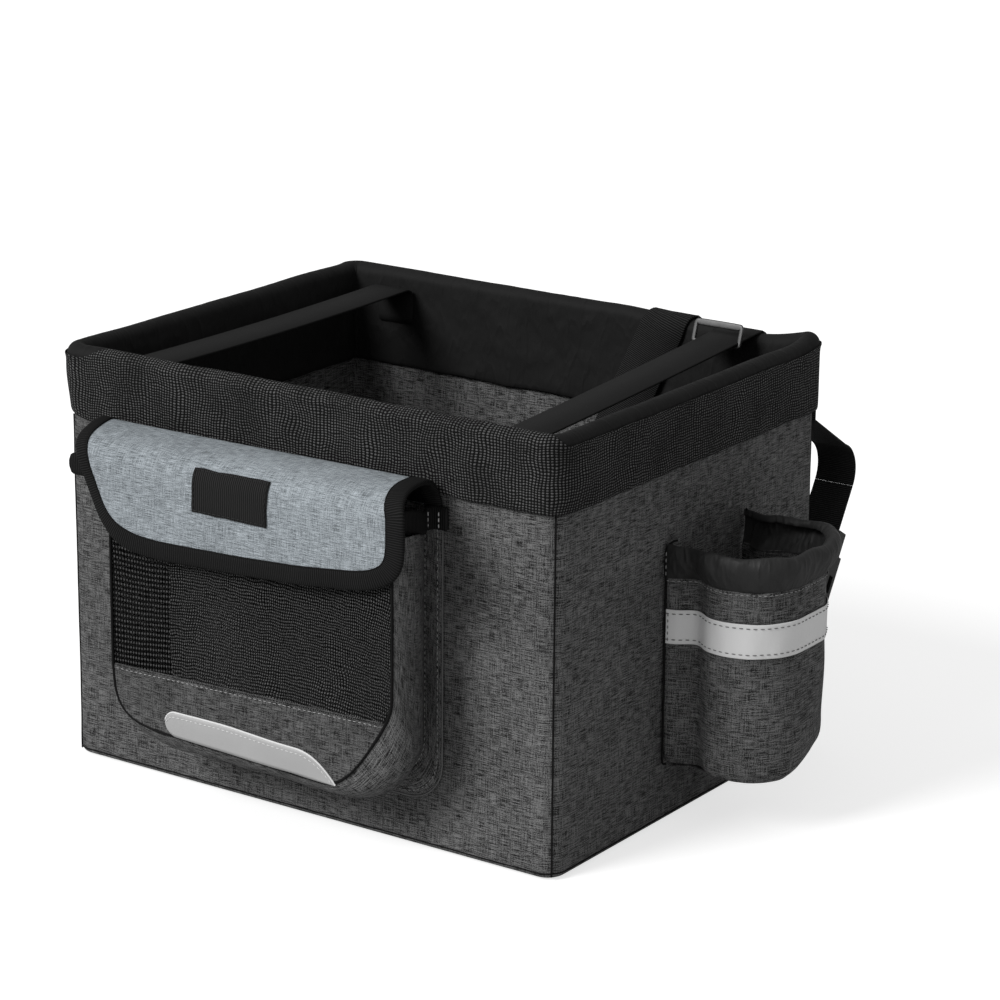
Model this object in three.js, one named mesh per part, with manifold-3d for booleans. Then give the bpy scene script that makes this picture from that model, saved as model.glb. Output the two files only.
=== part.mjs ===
import * as THREE from 'three';
import { mergeVertices } from 'three/addons/utils/BufferGeometryUtils.js';
import Module from 'manifold-3d';

// A soft bicycle basket for a small dog. Millimetres, +Z up, origin at the middle of the underside.
// The front pocket faces -Y, the bottle pocket is on +X, and the handlebar side is +Y.

const wasm = await Module();
wasm.setup();

// Clearances and cutting
const seatGap = 0.3;            // air between two pieces that rest on each other
const cutOverrun = 2;           // how far a cut runs past the face that it opens

// Basket body
const basketWidth = 330;
const basketDepth = 264;
const basketHeight = 240;
const cornerRadius = 11;        // upright corners, on the outside of the cloth
const boardCornerGap = 12;      // the boards stop short of the corners
const clothThickness = 1.5;
const boardThickness = 4;
const liningThickness = 1.2;

// Padded collar round the mouth and the steel rod that holds it open
const collarThickness = 2.4;
const collarHeight = 42;        // outer skirt with the roll
const facingHeight = 60;        // inner skirt with the roll
const rimRodDiameter = 5;
const rimRodDrop = 1.2;         // from the middle of the roll down to the middle of the rod
const rollSteps = 8;
const cornerSteps = 5;

// Loose pad on the floor
const padSideClearance = 4;
const padEdgeHeight = 12;
const padCrownHeight = 20;
const padSidePull = 6;          // how far each side draws in between its corners
const padSquareness = 7;
const padPointCount = 48;

// Front pocket
const pocketCentreX = -2;
const pocketFrontWidth = 188;
const pocketBackWidth = 176;    // the pocket widens away from the wall
const pocketDepth = 42;
const pocketBottom = 40;
const pocketTopDrop = 60;       // from the basket's top to the top of the gusset
const pocketCornerRadius = 28;
const pocketCornerSteps = 8;
const gussetThickness = 1.5;
const flangeWidth = 5;
const flangeThickness = 1.2;
const flangeOverrun = 3;        // above the gusset
const lowerPanelHeight = 43;
const lowerPanelThickness = 1.2;
const mouthBindingHeight = 12.5;
const mouthBindingThickness = 3;
const mouthBindingProud = 0.8;
const mouthBindingStart = 6;    // its sides start this far from the wall

// Net window of the front pocket
const netThickness = 1;
const netBorder = 4;
const netBar = 2.4;
const netColumns = 16;
const netRows = 8;

// Reflective patch on the lower panel
const reflectorThickness = 0.8;
const reflectorHeight = 18;
const reflectorLift = 2.8;      // above the pocket's lower edge
const reflectorLeft = 56.6;     // from the pocket's middle to the round end
const reflectorRight = 58;      // from the pocket's middle to the point
const reflectorPointLength = 29;
const reflectorEndRadius = 8.5;

// Flap over the front pocket: a fixed root, then the part that lifts
const flapOffset = -2;          // from the pocket's middle
const flapOverhang = 14;        // past each side of the pocket
const flapThickness = 2;
const flapRidgeDrop = 31;       // from the basket's top to the flap's highest point
const flapHemDrop = 20.5;       // from that point to where the root leaves the wall
const flapHemHeight = 4.5;      // flat against the wall
const flapRidgeDepth = 18;      // from the wall, where the flap folds when it lifts
const flapHingeGap = 0.4;
const flapShoulder = 17;        // drop of the rounded front edge
const shoulderFullShare = 0.78; // how boxy that edge is
const flapHang = 41;            // straight drop below the shoulder
const flapCornerRadius = 32;
const flapRootControlDepth = 7;
const bindingWidth = 10;
const bindingThickness = 3;
const flapSteps = 10;
const flapCornerSteps = 8;

// Woven patch on the flap and the hook-and-loop pair under it
const patchWidth = 51;
const patchOffset = -4;         // from the flap's middle
const patchThickness = 0.9;
const patchStart = 27;          // along the flap, from the fold
const patchLength = 26;
const fastenerWidth = 60;
const fastenerHeight = 16;
const fastenerThickness = 1.2;
const fastenerRise = 11;        // above the flap's lower edge

// Bottle pocket on the right wall
const bottlePocketY = 10.5;
const bottlePocketWidth = 79;
const bottlePocketDepth = 66;
const bottlePocketRadius = 30;
const bottlePocketBottom = 34;
const bottlePocketTop = 140;
const bottlePocketThickness = 1.5;
const ruffleHeight = 20;
const ruffleFoot = 2;
const ruffleBulge = 5.5;
const ruffleTopWidth = 3.5;
const ruffleWave = 0.8;
const ruffleWaveCount = 11;
const ruffleFullFromShare = 0.35;
const ruffleFullToShare = 0.7;
const ruffleSteps = 12;      // along each straight or round stretch
const bottlePocketSteps = 6;
const bandBottom = 103;
const bandHeight = 19.5;
const bandThickness = 0.8;

// Smooth straps across the mouth
const strapWidth = 25;
const strapThickness = 1.4;
const strapBend = 3;
const strapBendShare = 0.3;     // how far into a bend its middle place lies
const tabLength = 22;
const leftStrapInset = 41;      // from the basket's side to the strap's middle
const leftStrapDrop = 10;       // from the basket's top
const rightStrapFrontInset = 79;
const rightStrapBackInset = 50;
const rightStrapFrontDrop = 33; // from the basket's top
const tetherWidth = 28;
const tetherTopInset = 95.5;    // from the basket's side to its middle over the roll
const tetherFootInset = 193;    // from the same side to its middle at the foot

// Rectangular slider that hangs on the right strap by its upper bar
const sliderWidth = 33;
const sliderHeight = 15;
const sliderThickness = 3;
const sliderBar = 2.8;
const sliderLean = Math.PI / 10; // from upright, its lower bar forward
const sliderSetback = 18;       // along the strap, from where it meets the roll

// Handlebar straps, one near each rear corner
const handlebarStrapInset = 16;
const handlebarDiameter = 32;
const handlebarSlack = 1.3;     // radial, between the bar and the strap
const handlebarDistance = 32;   // wall to the bar's middle
const handlebarDrop = 90;       // from the basket's top to the bar's middle
const handlebarTabRise = 40;    // from the bar's middle to where the strap leaves the wall
const anchorTab = 15;
const anchorRun = 16;
const tailRun = 28;             // free webbing between the bar and the plug
const wrapSteps = 14;

// Side-release buckle on each handlebar strap
const socketWidth = 33;
const socketLength = 30;
const socketThickness = 10;
const socketWall = 1.8;
const socketFloor = 6;
const plugBodyLength = 14;
const plugBodyWidth = 31;
const plugBodyThickness = 8;
const plugSlotLength = 4;
const plugSlotWidth = 27;
const prongLength = 20;
const prongWidth = 5;
const prongThickness = 4.5;
const prongInset = 1.4;         // side play of the prongs in the socket
const guideWidth = 6;
const guideLength = 14;

// Strap round the head tube
const headTubeDiameter = 46;
const headTubeDistance = 36;    // wall to the tube's middle
const headStrapMiddle = 52;     // height of the strap's middle
const headStrapTab = 18;
const headStrapSlack = 2;

// Sizes that follow from the ones above
const halfWidth = basketWidth / 2;
const halfDepth = basketDepth / 2;
const boardSetback = clothThickness + seatGap;
const liningSetback = boardSetback + boardThickness + seatGap;
const wallStack = liningSetback + liningThickness;
const rollRadius = wallStack / 2 + seatGap + collarThickness;
const rollCentreHeight = basketHeight - rollRadius;
const rimRodCentreHeight = rollCentreHeight - rimRodDrop;
const wallTop = rimRodCentreHeight - rimRodDiameter / 2 - seatGap;
const collarBottom = basketHeight - collarHeight;
const facingBottom = basketHeight - facingHeight;
const baseBoardTop = boardSetback + boardThickness;
const padBottom = baseBoardTop + seatGap + liningThickness + seatGap;
const flapCentreX = pocketCentreX + flapOffset;
const flapWidth = pocketFrontWidth + 2 * flapOverhang;
const leftStrapX = leftStrapInset - halfWidth;
const rightStrapFrontX = halfWidth - rightStrapFrontInset;
const rightStrapBackX = halfWidth - rightStrapBackInset;
const tetherTopX = halfWidth - tetherTopInset;
const tetherFootX = halfWidth - tetherFootInset;
const handlebarStrapX = halfWidth - handlebarStrapInset;
const gussetTop = basketHeight - pocketTopDrop;
const flangeTop = gussetTop + flangeOverrun;
const lowerPanelTop = pocketBottom + lowerPanelHeight;
const flapRidgeHeight = basketHeight - flapRidgeDrop;
const flapHemTop = flapRidgeHeight - flapHemDrop;
const flapHemBottom = flapHemTop - flapHemHeight;
const leftStrapHeight = basketHeight - leftStrapDrop;
const rightStrapFrontHeight = basketHeight - rightStrapFrontDrop;
const handlebarHeight = basketHeight - handlebarDrop;
const innerSkirtY = halfDepth - wallStack - seatGap - collarThickness;
const outerSkirtY = halfDepth + seatGap + collarThickness;

const basket = new THREE.Group();

const melange = new THREE.MeshStandardMaterial({ color: 0x4b4b4c, roughness: 0.9, metalness: 0 });
const innerMelange = new THREE.MeshStandardMaterial({ color: 0x59595a, roughness: 0.92, metalness: 0 });
const spacerCloth = new THREE.MeshStandardMaterial({ color: 0x222222, roughness: 0.85, metalness: 0 });
const blackNylon = new THREE.MeshStandardMaterial({ color: 0x1b1b1c, roughness: 0.7, metalness: 0 });
const webbing = new THREE.MeshStandardMaterial({ color: 0x202021, roughness: 0.75, metalness: 0 });
const board = new THREE.MeshStandardMaterial({ color: 0x8c8c8a, roughness: 0.6, metalness: 0 });
const padCloth = new THREE.MeshStandardMaterial({ color: 0x6a6a6b, roughness: 0.95, metalness: 0 });
const blueGreyCloth = new THREE.MeshStandardMaterial({ color: 0x919ca5, roughness: 0.88, metalness: 0 });
const netCloth = new THREE.MeshStandardMaterial({ color: 0x1d1d1e, roughness: 0.8, metalness: 0 });
const reflective = new THREE.MeshStandardMaterial({ color: 0xb4b5b6, roughness: 0.4, metalness: 0 });
const fastener = new THREE.MeshStandardMaterial({ color: 0x171717, roughness: 0.95, metalness: 0 });
const steel = new THREE.MeshStandardMaterial({ color: 0x8a8c8e, roughness: 0.35, metalness: 1 });
const buckle = new THREE.MeshStandardMaterial({ color: 0x19191a, roughness: 0.45, metalness: 0 });

function addPiece(name, geometry, material, parent = basket) {
  const mesh = new THREE.Mesh(geometry, material);
  mesh.name = name;
  parent.add(mesh);
  return mesh;
}

// Turns a closed surface inside out where its faces point inwards
function facingOut(geometry) {
  const place = geometry.attributes.position;
  const index = Array.from(geometry.index.array);
  const a = new THREE.Vector3();
  const b = new THREE.Vector3();
  const c = new THREE.Vector3();
  let volume = 0;
  for (let i = 0; i < index.length; i += 3) {
    a.fromBufferAttribute(place, index[i]);
    b.fromBufferAttribute(place, index[i + 1]);
    c.fromBufferAttribute(place, index[i + 2]);
    volume += a.dot(b.cross(c));
  }
  if (volume < 0) {
    for (let i = 0; i < index.length; i += 3) {
      [index[i + 1], index[i + 2]] = [index[i + 2], index[i + 1]];
    }
    geometry.setIndex(index);
  }
  return geometry;
}

// A closed body through rings of points, joined end to end or capped at both ends
function loft(rings, isLoop = false) {
  const count = rings[0].length;
  const points = rings.flat();
  const index = [];
  const spans = isLoop ? rings.length : rings.length - 1;
  for (let ring = 0; ring < spans; ring += 1) {
    const near = ring * count;
    const far = ((ring + 1) % rings.length) * count;
    for (let i = 0; i < count; i += 1) {
      const j = (i + 1) % count;
      index.push(near + i, far + i, far + j, near + i, far + j, near + j);
    }
  }
  if (!isLoop) {
    const ends = [rings[0], rings[rings.length - 1]];
    ends.forEach((ring, end) => {
      const middle = new THREE.Vector3();
      ring.forEach((point) => middle.addScaledVector(point, 1 / count));
      const hub = points.push(middle) - 1;
      const start = end === 0 ? 0 : (rings.length - 1) * count;
      for (let i = 0; i < count; i += 1) {
        const j = (i + 1) % count;
        const pair = end === 0 ? [start + i, start + j] : [start + j, start + i];
        index.push(hub, ...pair);
      }
    });
  }
  const geometry = new THREE.BufferGeometry();
  geometry.setAttribute('position', new THREE.Float32BufferAttribute(points.flatMap((p) => p.toArray()), 3));
  geometry.setIndex(index);
  return facingOut(geometry);
}

function solidOf(geometry) {
  const bare = geometry.clone();
  bare.deleteAttribute('normal');
  bare.deleteAttribute('uv');
  const merged = mergeVertices(bare);
  return new wasm.Manifold(new wasm.Mesh({
    numProp: 3,
    vertProperties: new Float32Array(merged.attributes.position.array),
    triVerts: new Uint32Array(merged.index.array),
  }));
}

function geometryOf(solid) {
  const mesh = solid.getMesh();
  const geometry = new THREE.BufferGeometry();
  geometry.setAttribute('position', new THREE.BufferAttribute(mesh.vertProperties, 3));
  geometry.setIndex(new THREE.BufferAttribute(mesh.triVerts, 1));
  return geometry;
}

function joined(first, second) {
  return geometryOf(solidOf(first).add(solidOf(second)));
}

function cutFrom(body, tool) {
  return geometryOf(solidOf(body).subtract(solidOf(tool)));
}

// A plan outline raised between two heights
function raised(shape, low, high, curveSegments = 8) {
  const settings = { depth: high - low, bevelEnabled: false, curveSegments };
  const geometry = new THREE.ExtrudeGeometry(shape, settings);
  return geometry.translate(0, 0, low);
}

// An outline in X and Z pushed forward from the front wall, between two depths
function pushedOut(shape, near, far, curveSegments = 8) {
  const settings = { depth: far - near, bevelEnabled: false, curveSegments };
  const geometry = new THREE.ExtrudeGeometry(shape, settings);
  return geometry.rotateX(Math.PI / 2).translate(0, -halfDepth - near, 0);
}

// A box between two corners
function block(low, high) {
  const size = high.map((value, axis) => value - low[axis]);
  const middle = high.map((value, axis) => (value + low[axis]) / 2);
  return new THREE.BoxGeometry(...size).translate(...middle);
}

function roundedLoop(halfX, halfY, radius, z) {
  const points = [];
  const corners = [[1, -1, -0.5], [1, 1, 0], [-1, 1, 0.5], [-1, -1, 1]];
  corners.forEach(([sideX, sideY, startTurns]) => {
    for (let step = 0; step <= cornerSteps; step += 1) {
      const angle = Math.PI * (startTurns + step / cornerSteps / 2);
      points.push(new THREE.Vector3(
        sideX * (halfX - radius) + radius * Math.cos(angle),
        sideY * (halfY - radius) + radius * Math.sin(angle),
        z,
      ));
    }
  });
  return points;
}

function roundedPlate(halfX, halfY, radius, low, high) {
  return loft([roundedLoop(halfX, halfY, radius, low), roundedLoop(halfX, halfY, radius, high)]);
}

// A flat wall that turns half of each upright corner, facing -Y before it is turned to its side
function wallPlan(halfLength, halfSpan, radius, thickness) {
  const seam = seatGap / 2 / radius;
  const rightX = halfLength - radius;
  const cornerY = radius - halfSpan;
  const down = 1.5 * Math.PI;
  const reach = Math.PI / 4 - seam;
  const shape = new THREE.Shape();
  shape.absarc(-rightX, cornerY, radius, down - reach, down, false);
  shape.absarc(rightX, cornerY, radius, down, down + reach, false);
  shape.absarc(rightX, cornerY, radius - thickness, down + reach, down, true);
  shape.absarc(-rightX, cornerY, radius - thickness, down, down - reach, true);
  return shape;
}

const wallSides = [
  { side: 'front', turn: 0, halfLength: halfWidth, halfSpan: halfDepth },
  { side: 'right', turn: Math.PI / 2, halfLength: halfDepth, halfSpan: halfWidth },
  { side: 'back', turn: Math.PI, halfLength: halfWidth, halfSpan: halfDepth },
  { side: 'left', turn: -Math.PI / 2, halfLength: halfDepth, halfSpan: halfWidth },
];

function buildWalls() {
  wallSides.forEach(({ side, turn, halfLength, halfSpan }) => {
    const outside = wallPlan(halfLength, halfSpan, cornerRadius, clothThickness);
    addPiece(`shell_${side}_panel`, raised(outside, 0, wallTop, 3), melange).rotation.z = turn;

    const boardHalf = halfLength - boardCornerGap;
    const boardFront = boardSetback - halfSpan;
    const farCorner = [boardHalf, boardFront + boardThickness, wallTop];
    const stiffener = block([-boardHalf, boardFront, boardSetback], farCorner);
    addPiece(`board_${side}`, stiffener, board).rotation.z = turn;

    const inside = wallPlan(
      halfLength - liningSetback,
      halfSpan - liningSetback,
      cornerRadius - liningSetback,
      liningThickness,
    );
    const liner = raised(inside, baseBoardTop + seatGap, wallTop, 2);
    addPiece(`lining_${side}`, liner, innerMelange).rotation.z = turn;
  });
}

function buildFloor() {
  const floors = [
    ['shell_base_panel', boardSetback, 0, clothThickness, melange],
    ['board_base', liningSetback, boardSetback, baseBoardTop, board],
    ['lining_base', wallStack + seatGap, baseBoardTop + seatGap, padBottom - seatGap, innerMelange],
  ];
  floors.forEach(([name, setback, low, high, material]) => {
    const plate = roundedPlate(halfWidth - setback, halfDepth - setback, cornerRadius - setback, low, high);
    addPiece(name, plate, material);
  });
}

// A ring that follows the rim. Each outline point is [distance outwards from the rim's middle, height].
function rimRing(outline) {
  const middle = wallStack / 2;
  return loft(outline.map(([out, z]) => roundedLoop(
    halfWidth - middle + out,
    halfDepth - middle + out,
    cornerRadius - middle + out,
    z,
  )), true);
}

function arcPoints(centreX, centreY, radius, fromAngle, toAngle, steps) {
  return Array.from({ length: steps + 1 }, (_, step) => {
    const angle = fromAngle + (toAngle - fromAngle) * step / steps;
    return [centreX + radius * Math.cos(angle), centreY + radius * Math.sin(angle)];
  });
}

function buildCollar() {
  const cavity = rollRadius - collarThickness;
  const skirtTop = rollCentreHeight - rimRodDrop;
  addPiece('collar_outer', rimRing([
    [cavity, collarBottom],
    [rollRadius, collarBottom],
    [rollRadius, skirtTop],
    [cavity, skirtTop],
  ]), spacerCloth);
  addPiece('collar_facing', rimRing([
    [rollRadius, skirtTop + seatGap],
    ...arcPoints(0, rollCentreHeight, rollRadius, 0, Math.PI, rollSteps),
    [-rollRadius, facingBottom],
    [-cavity, facingBottom],
    ...arcPoints(0, rollCentreHeight, cavity, Math.PI, 0, rollSteps),
    [cavity, skirtTop + seatGap],
  ]), blackNylon);
  const rodSection = arcPoints(0, rimRodCentreHeight, rimRodDiameter / 2, 0, 2 * Math.PI, 8).slice(0, -1);
  addPiece('rim_rod', rimRing(rodSection), steel);
}

// A crowned pad whose sides draw in between the corners
function buildPad() {
  const halfX = halfWidth - wallStack - padSideClearance;
  const halfY = halfDepth - wallStack - padSideClearance;
  const levelShares = [[0.55, 0], [0.93, 0], [0.99, 0.35], [1, 0.6], [0.985, 0.85]];
  const domeShares = [0.95, 0.87, 0.72, 0.5, 0.25];
  const ringAt = (scale, z) => Array.from({ length: padPointCount }, (_, i) => {
    const angle = 2 * Math.PI * i / padPointCount;
    const power = 2 / padSquareness;
    const shareX = Math.sign(Math.cos(angle)) * Math.abs(Math.cos(angle)) ** power;
    const shareY = Math.sign(Math.sin(angle)) * Math.abs(Math.sin(angle)) ** power;
    const pullX = padSidePull * (1 - shareY * shareY);
    const pullY = padSidePull * (1 - shareX * shareX);
    return new THREE.Vector3(scale * shareX * (halfX - pullX), scale * shareY * (halfY - pullY), z);
  });
  const sides = levelShares.map(([scale, height]) => ringAt(scale, padBottom + height * padEdgeHeight));
  const dome = domeShares.map((scale) => {
    const height = padEdgeHeight + (padCrownHeight - padEdgeHeight) * (1 - scale ** 4);
    return ringAt(scale, padBottom + height);
  });
  addPiece('floor_pad', loft([...sides, ...dome]), padCloth);
}

// Front pocket
const pocketHalf = pocketFrontWidth / 2;
const pocketBackHalf = pocketBackWidth / 2;
const pocketLeft = pocketCentreX - pocketHalf;
const pocketRight = pocketCentreX + pocketHalf;
const pocketFrontDepth = seatGap + pocketDepth;
const panelDepth = pocketFrontDepth + seatGap;

// Points down the pocket's left side, round its lower corners and up its right side
function pocketLine(half, outset, top, depth) {
  const radius = pocketCornerRadius + outset;
  const centreX = half - pocketCornerRadius;
  const centreZ = pocketBottom + pocketCornerRadius;
  return [
    [-half - outset, top],
    ...arcPoints(-centreX, centreZ, radius, Math.PI, 1.5 * Math.PI, pocketCornerSteps),
    ...arcPoints(centreX, centreZ, radius, 1.5 * Math.PI, 2 * Math.PI, pocketCornerSteps),
    [half + outset, top],
  ].map(([x, z]) => new THREE.Vector3(pocketCentreX + x, -halfDepth - depth, z));
}

// A closed band between four such lines
function pocketBand(lines) {
  return loft(lines[0].map((_, station) => lines.map((line) => line[station])));
}

function pocketGusset() {
  const wall = pocketBand([
    pocketLine(pocketBackHalf, 0, gussetTop, seatGap),
    pocketLine(pocketBackHalf, -gussetThickness, gussetTop, seatGap),
    pocketLine(pocketHalf, -gussetThickness, gussetTop, pocketFrontDepth),
    pocketLine(pocketHalf, 0, gussetTop, pocketFrontDepth),
  ]);
  const flange = pocketBand([
    pocketLine(pocketBackHalf, flangeWidth, flangeTop, seatGap),
    pocketLine(pocketBackHalf, -gussetThickness, flangeTop, seatGap),
    pocketLine(pocketBackHalf, -gussetThickness, flangeTop, seatGap + flangeThickness),
    pocketLine(pocketBackHalf, flangeWidth, flangeTop, seatGap + flangeThickness),
  ]);
  return joined(wall, flange);
}

function pocketLowerPanel() {
  const line = pocketLine(pocketHalf, 0, lowerPanelTop, 0);
  return pushedOut(
    new THREE.Shape(line.map(({ x, z }) => new THREE.Vector2(x, z))),
    panelDepth,
    panelDepth + lowerPanelThickness,
  );
}

function buildPocket() {
  addPiece('pocket_gusset', pocketGusset(), melange);
  addPiece('pocket_lower_panel', pocketLowerPanel(), melange);
  addPiece('pocket_net_window', netWindow(), netCloth);
  addPiece('pocket_mouth_binding', mouthBinding(), webbing);
  addPiece('pocket_reflector', reflectorPatch(), reflective);
}

function netWindow() {
  const low = lowerPanelTop + seatGap;
  const high = gussetTop;
  const near = -halfDepth - panelDepth;
  const far = near - netThickness;
  const pitchX = (pocketFrontWidth - 2 * netBorder + netBar) / netColumns;
  const pitchZ = (high - low - 2 * netBorder + netBar) / netRows;
  let net = solidOf(block([pocketLeft, far, low], [pocketRight, near, high]));
  for (let column = 0; column < netColumns; column += 1) {
    for (let row = 0; row < netRows; row += 1) {
      const x = pocketLeft + netBorder + column * pitchX;
      const z = low + netBorder + row * pitchZ;
      const hole = block(
        [x, far - cutOverrun, z],
        [x + pitchX - netBar, near + cutOverrun, z + pitchZ - netBar],
      );
      net = net.subtract(solidOf(hole));
    }
  }
  return geometryOf(net);
}

// Tape along the pocket's mouth: up one side, across the front and back along the other side
function mouthBinding() {
  const front = panelDepth + netThickness + mouthBindingProud;
  const low = gussetTop + seatGap;
  const high = low + mouthBindingHeight;
  const turns = [
    [-1, pocketBackHalf, mouthBindingStart, 0],
    [-1, pocketHalf, front, mouthBindingThickness],
    [1, pocketHalf, front, mouthBindingThickness],
    [1, pocketBackHalf, mouthBindingStart, 0],
  ];
  return loft(turns.map(([side, half, depth, inset]) => {
    const outerX = pocketCentreX + side * (half + mouthBindingProud);
    const innerX = outerX - side * mouthBindingThickness;
    return [
      new THREE.Vector3(outerX, -halfDepth - depth, low),
      new THREE.Vector3(outerX, -halfDepth - depth, high),
      new THREE.Vector3(innerX, inset - halfDepth - depth, high),
      new THREE.Vector3(innerX, inset - halfDepth - depth, low),
    ];
  }));
}

function reflectorPatch() {
  const low = pocketBottom + reflectorLift;
  const high = low + reflectorHeight;
  const roundX = pocketCentreX - reflectorLeft + reflectorEndRadius;
  const pointX = pocketCentreX + reflectorRight;
  const bendX = pointX - reflectorPointLength;
  const shape = new THREE.Shape();
  shape.moveTo(roundX, low);
  shape.lineTo(pointX, low);
  shape.quadraticCurveTo((bendX + pointX) / 2, high, bendX, high);
  shape.lineTo(roundX, high);
  shape.absarc(roundX, high - reflectorEndRadius, reflectorEndRadius, Math.PI / 2, Math.PI);
  shape.absarc(roundX, low + reflectorEndRadius, reflectorEndRadius, Math.PI, 1.5 * Math.PI);
  const near = panelDepth + lowerPanelThickness + seatGap;
  return pushedOut(shape, near, near + reflectorThickness, 5);
}

// Flap. Its hanging part clears the net, the loop strip and the hook strip.
const loopStripDepth = panelDepth + netThickness + seatGap;
const hookStripDepth = loopStripDepth + fastenerThickness + seatGap;
const flapReach = hookStripDepth + fastenerThickness + seatGap + flapThickness / 2;
const flapHalf = flapWidth / 2;
const flapMiddleRise = flapRidgeHeight - flapThickness / 2;

// The lifting part from the fold: round over the pocket's edge, then straight down
const shoulderReach = flapReach - flapRidgeDepth;
const shoulderFoot = flapMiddleRise - flapShoulder;
const shoulderCurve = new THREE.CubicBezierCurve(
  new THREE.Vector2(-flapRidgeDepth, flapMiddleRise),
  new THREE.Vector2(-flapRidgeDepth - shoulderReach * shoulderFullShare, flapMiddleRise),
  new THREE.Vector2(-flapReach, shoulderFoot + flapShoulder * shoulderFullShare),
  new THREE.Vector2(-flapReach, shoulderFoot),
);
const shoulderLength = shoulderCurve.getLength();
const flapLength = shoulderLength + flapHang;
const fastenerBottom = shoulderFoot - flapHang + fastenerRise;

// A point of the flap: across, along from the fold, and lifted off its middle surface
function onFlap(across, along, lift) {
  const x = flapCentreX + across;
  if (along > shoulderLength) {
    const z = shoulderFoot - (along - shoulderLength);
    return new THREE.Vector3(x, -halfDepth - flapReach - lift, z);
  }
  const share = along / shoulderLength;
  const place = shoulderCurve.getPointAt(share);
  const tangent = shoulderCurve.getTangentAt(share);
  return new THREE.Vector3(x, place.x - halfDepth + tangent.y * lift, place.y - tangent.x * lift);
}

function flapSection(leftAcross, rightAcross, along, lowLift, highLift) {
  return [
    onFlap(leftAcross, along, highLift),
    onFlap(rightAcross, along, highLift),
    onFlap(rightAcross, along, lowLift),
    onFlap(leftAcross, along, lowLift),
  ];
}

function alongSteps(from, to, steps) {
  return Array.from({ length: steps + 1 }, (_, step) => from + (to - from) * step / steps);
}

function flapPatch(middle, width, from, to, lowLift, highLift, steps) {
  return loft(alongSteps(from, to, steps).map((along) => (
    flapSection(middle - width / 2, middle + width / 2, along, lowLift, highLift)
  )));
}

// The fixed root from its hem on the wall to the fold, as one bent strip
function flapRoot() {
  const wallDepth = seatGap + flapThickness / 2;
  const rise = new THREE.QuadraticBezierCurve(
    new THREE.Vector2(wallDepth, flapHemTop),
    new THREE.Vector2(flapRootControlDepth, flapMiddleRise),
    new THREE.Vector2(flapRidgeDepth - flapHingeGap, flapMiddleRise),
  );
  const stations = [{ place: new THREE.Vector2(wallDepth, flapHemBottom), normal: new THREE.Vector2(1, 0) }];
  alongSteps(0, 1, 7).forEach((share) => {
    const tangent = rise.getTangentAt(share);
    const normal = share === 0 ? new THREE.Vector2(1, 0) : new THREE.Vector2(tangent.y, -tangent.x);
    stations.push({ place: rise.getPointAt(share), normal });
  });
  const corners = [[-1, -1], [1, -1], [1, 1], [-1, 1]];
  return loft(stations.map(({ place, normal }) => corners.map(([sideX, sideLift]) => {
    const spot = place.clone().addScaledVector(normal, sideLift * flapThickness / 2);
    return new THREE.Vector3(flapCentreX + sideX * flapHalf, -halfDepth - spot.x, spot.y);
  })));
}

function flapPanel() {
  const inset = bindingWidth + seatGap;
  const half = flapHalf - inset;
  const radius = flapCornerRadius - inset;
  const end = flapLength - inset;
  const straight = alongSteps(0, end - radius, flapSteps).map((along) => [along, half]);
  const corner = alongSteps(0, Math.PI / 2, flapCornerSteps).slice(1).map((angle) => (
    [end - radius + radius * Math.sin(angle), half - radius + radius * Math.cos(angle)]
  ));
  const lift = flapThickness / 2;
  return loft([...straight, ...corner].map(([along, side]) => flapSection(-side, side, along, -lift, lift)));
}

// Tape round the three free edges
function flapBinding() {
  const lift = bindingThickness / 2;
  const centreAlong = flapLength - flapCornerRadius;
  const centreAcross = flapHalf - flapCornerRadius;
  const pairs = alongSteps(0, centreAlong, flapSteps).map((along) => (
    { outer: [-flapHalf, along], inner: [bindingWidth - flapHalf, along] }
  ));
  [-1, 1].forEach((side) => {
    alongSteps(0, Math.PI / 2, flapCornerSteps).forEach((step) => {
      const angle = side < 0 ? step : Math.PI / 2 - step;
      const at = (radius) => [
        side * (centreAcross + radius * Math.cos(angle)),
        centreAlong + radius * Math.sin(angle),
      ];
      if (side > 0 || step > 0) {
        pairs.push({ outer: at(flapCornerRadius), inner: at(flapCornerRadius - bindingWidth) });
      }
    });
  });
  alongSteps(centreAlong, 0, flapSteps).slice(1).forEach((along) => {
    pairs.push({ outer: [flapHalf, along], inner: [flapHalf - bindingWidth, along] });
  });
  return loft(pairs.map(({ outer, inner }) => [
    onFlap(...outer, lift),
    onFlap(...inner, lift),
    onFlap(...inner, -lift),
    onFlap(...outer, -lift),
  ]));
}

function buildFlap() {
  addPiece('flap_root', flapRoot(), blueGreyCloth);
  addPiece('flap_panel', flapPanel(), blueGreyCloth);
  addPiece('flap_binding', flapBinding(), webbing);
  const patchLow = flapThickness / 2 + seatGap;
  const patch = flapPatch(
    patchOffset,
    patchWidth,
    patchStart,
    patchStart + patchLength,
    patchLow,
    patchLow + patchThickness,
    8,
  );
  addPiece('flap_patch', patch, webbing);

  const stripEnd = shoulderFoot + shoulderLength - fastenerBottom;
  const hookHigh = -flapThickness / 2 - seatGap;
  const hookLow = hookHigh - fastenerThickness;
  const hook = flapPatch(0, fastenerWidth, stripEnd - fastenerHeight, stripEnd, hookLow, hookHigh, 1);
  addPiece('flap_hook_strip', hook, fastener);
  const loopBack = -halfDepth - loopStripDepth;
  const loopLow = [flapCentreX - fastenerWidth / 2, loopBack - fastenerThickness, fastenerBottom];
  const loopHigh = [flapCentreX + fastenerWidth / 2, loopBack, fastenerBottom + fastenerHeight];
  addPiece('pocket_loop_strip', block(loopLow, loopHigh), fastener);
}

// Bottle pocket
const bottleNearX = halfWidth + seatGap;

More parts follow.
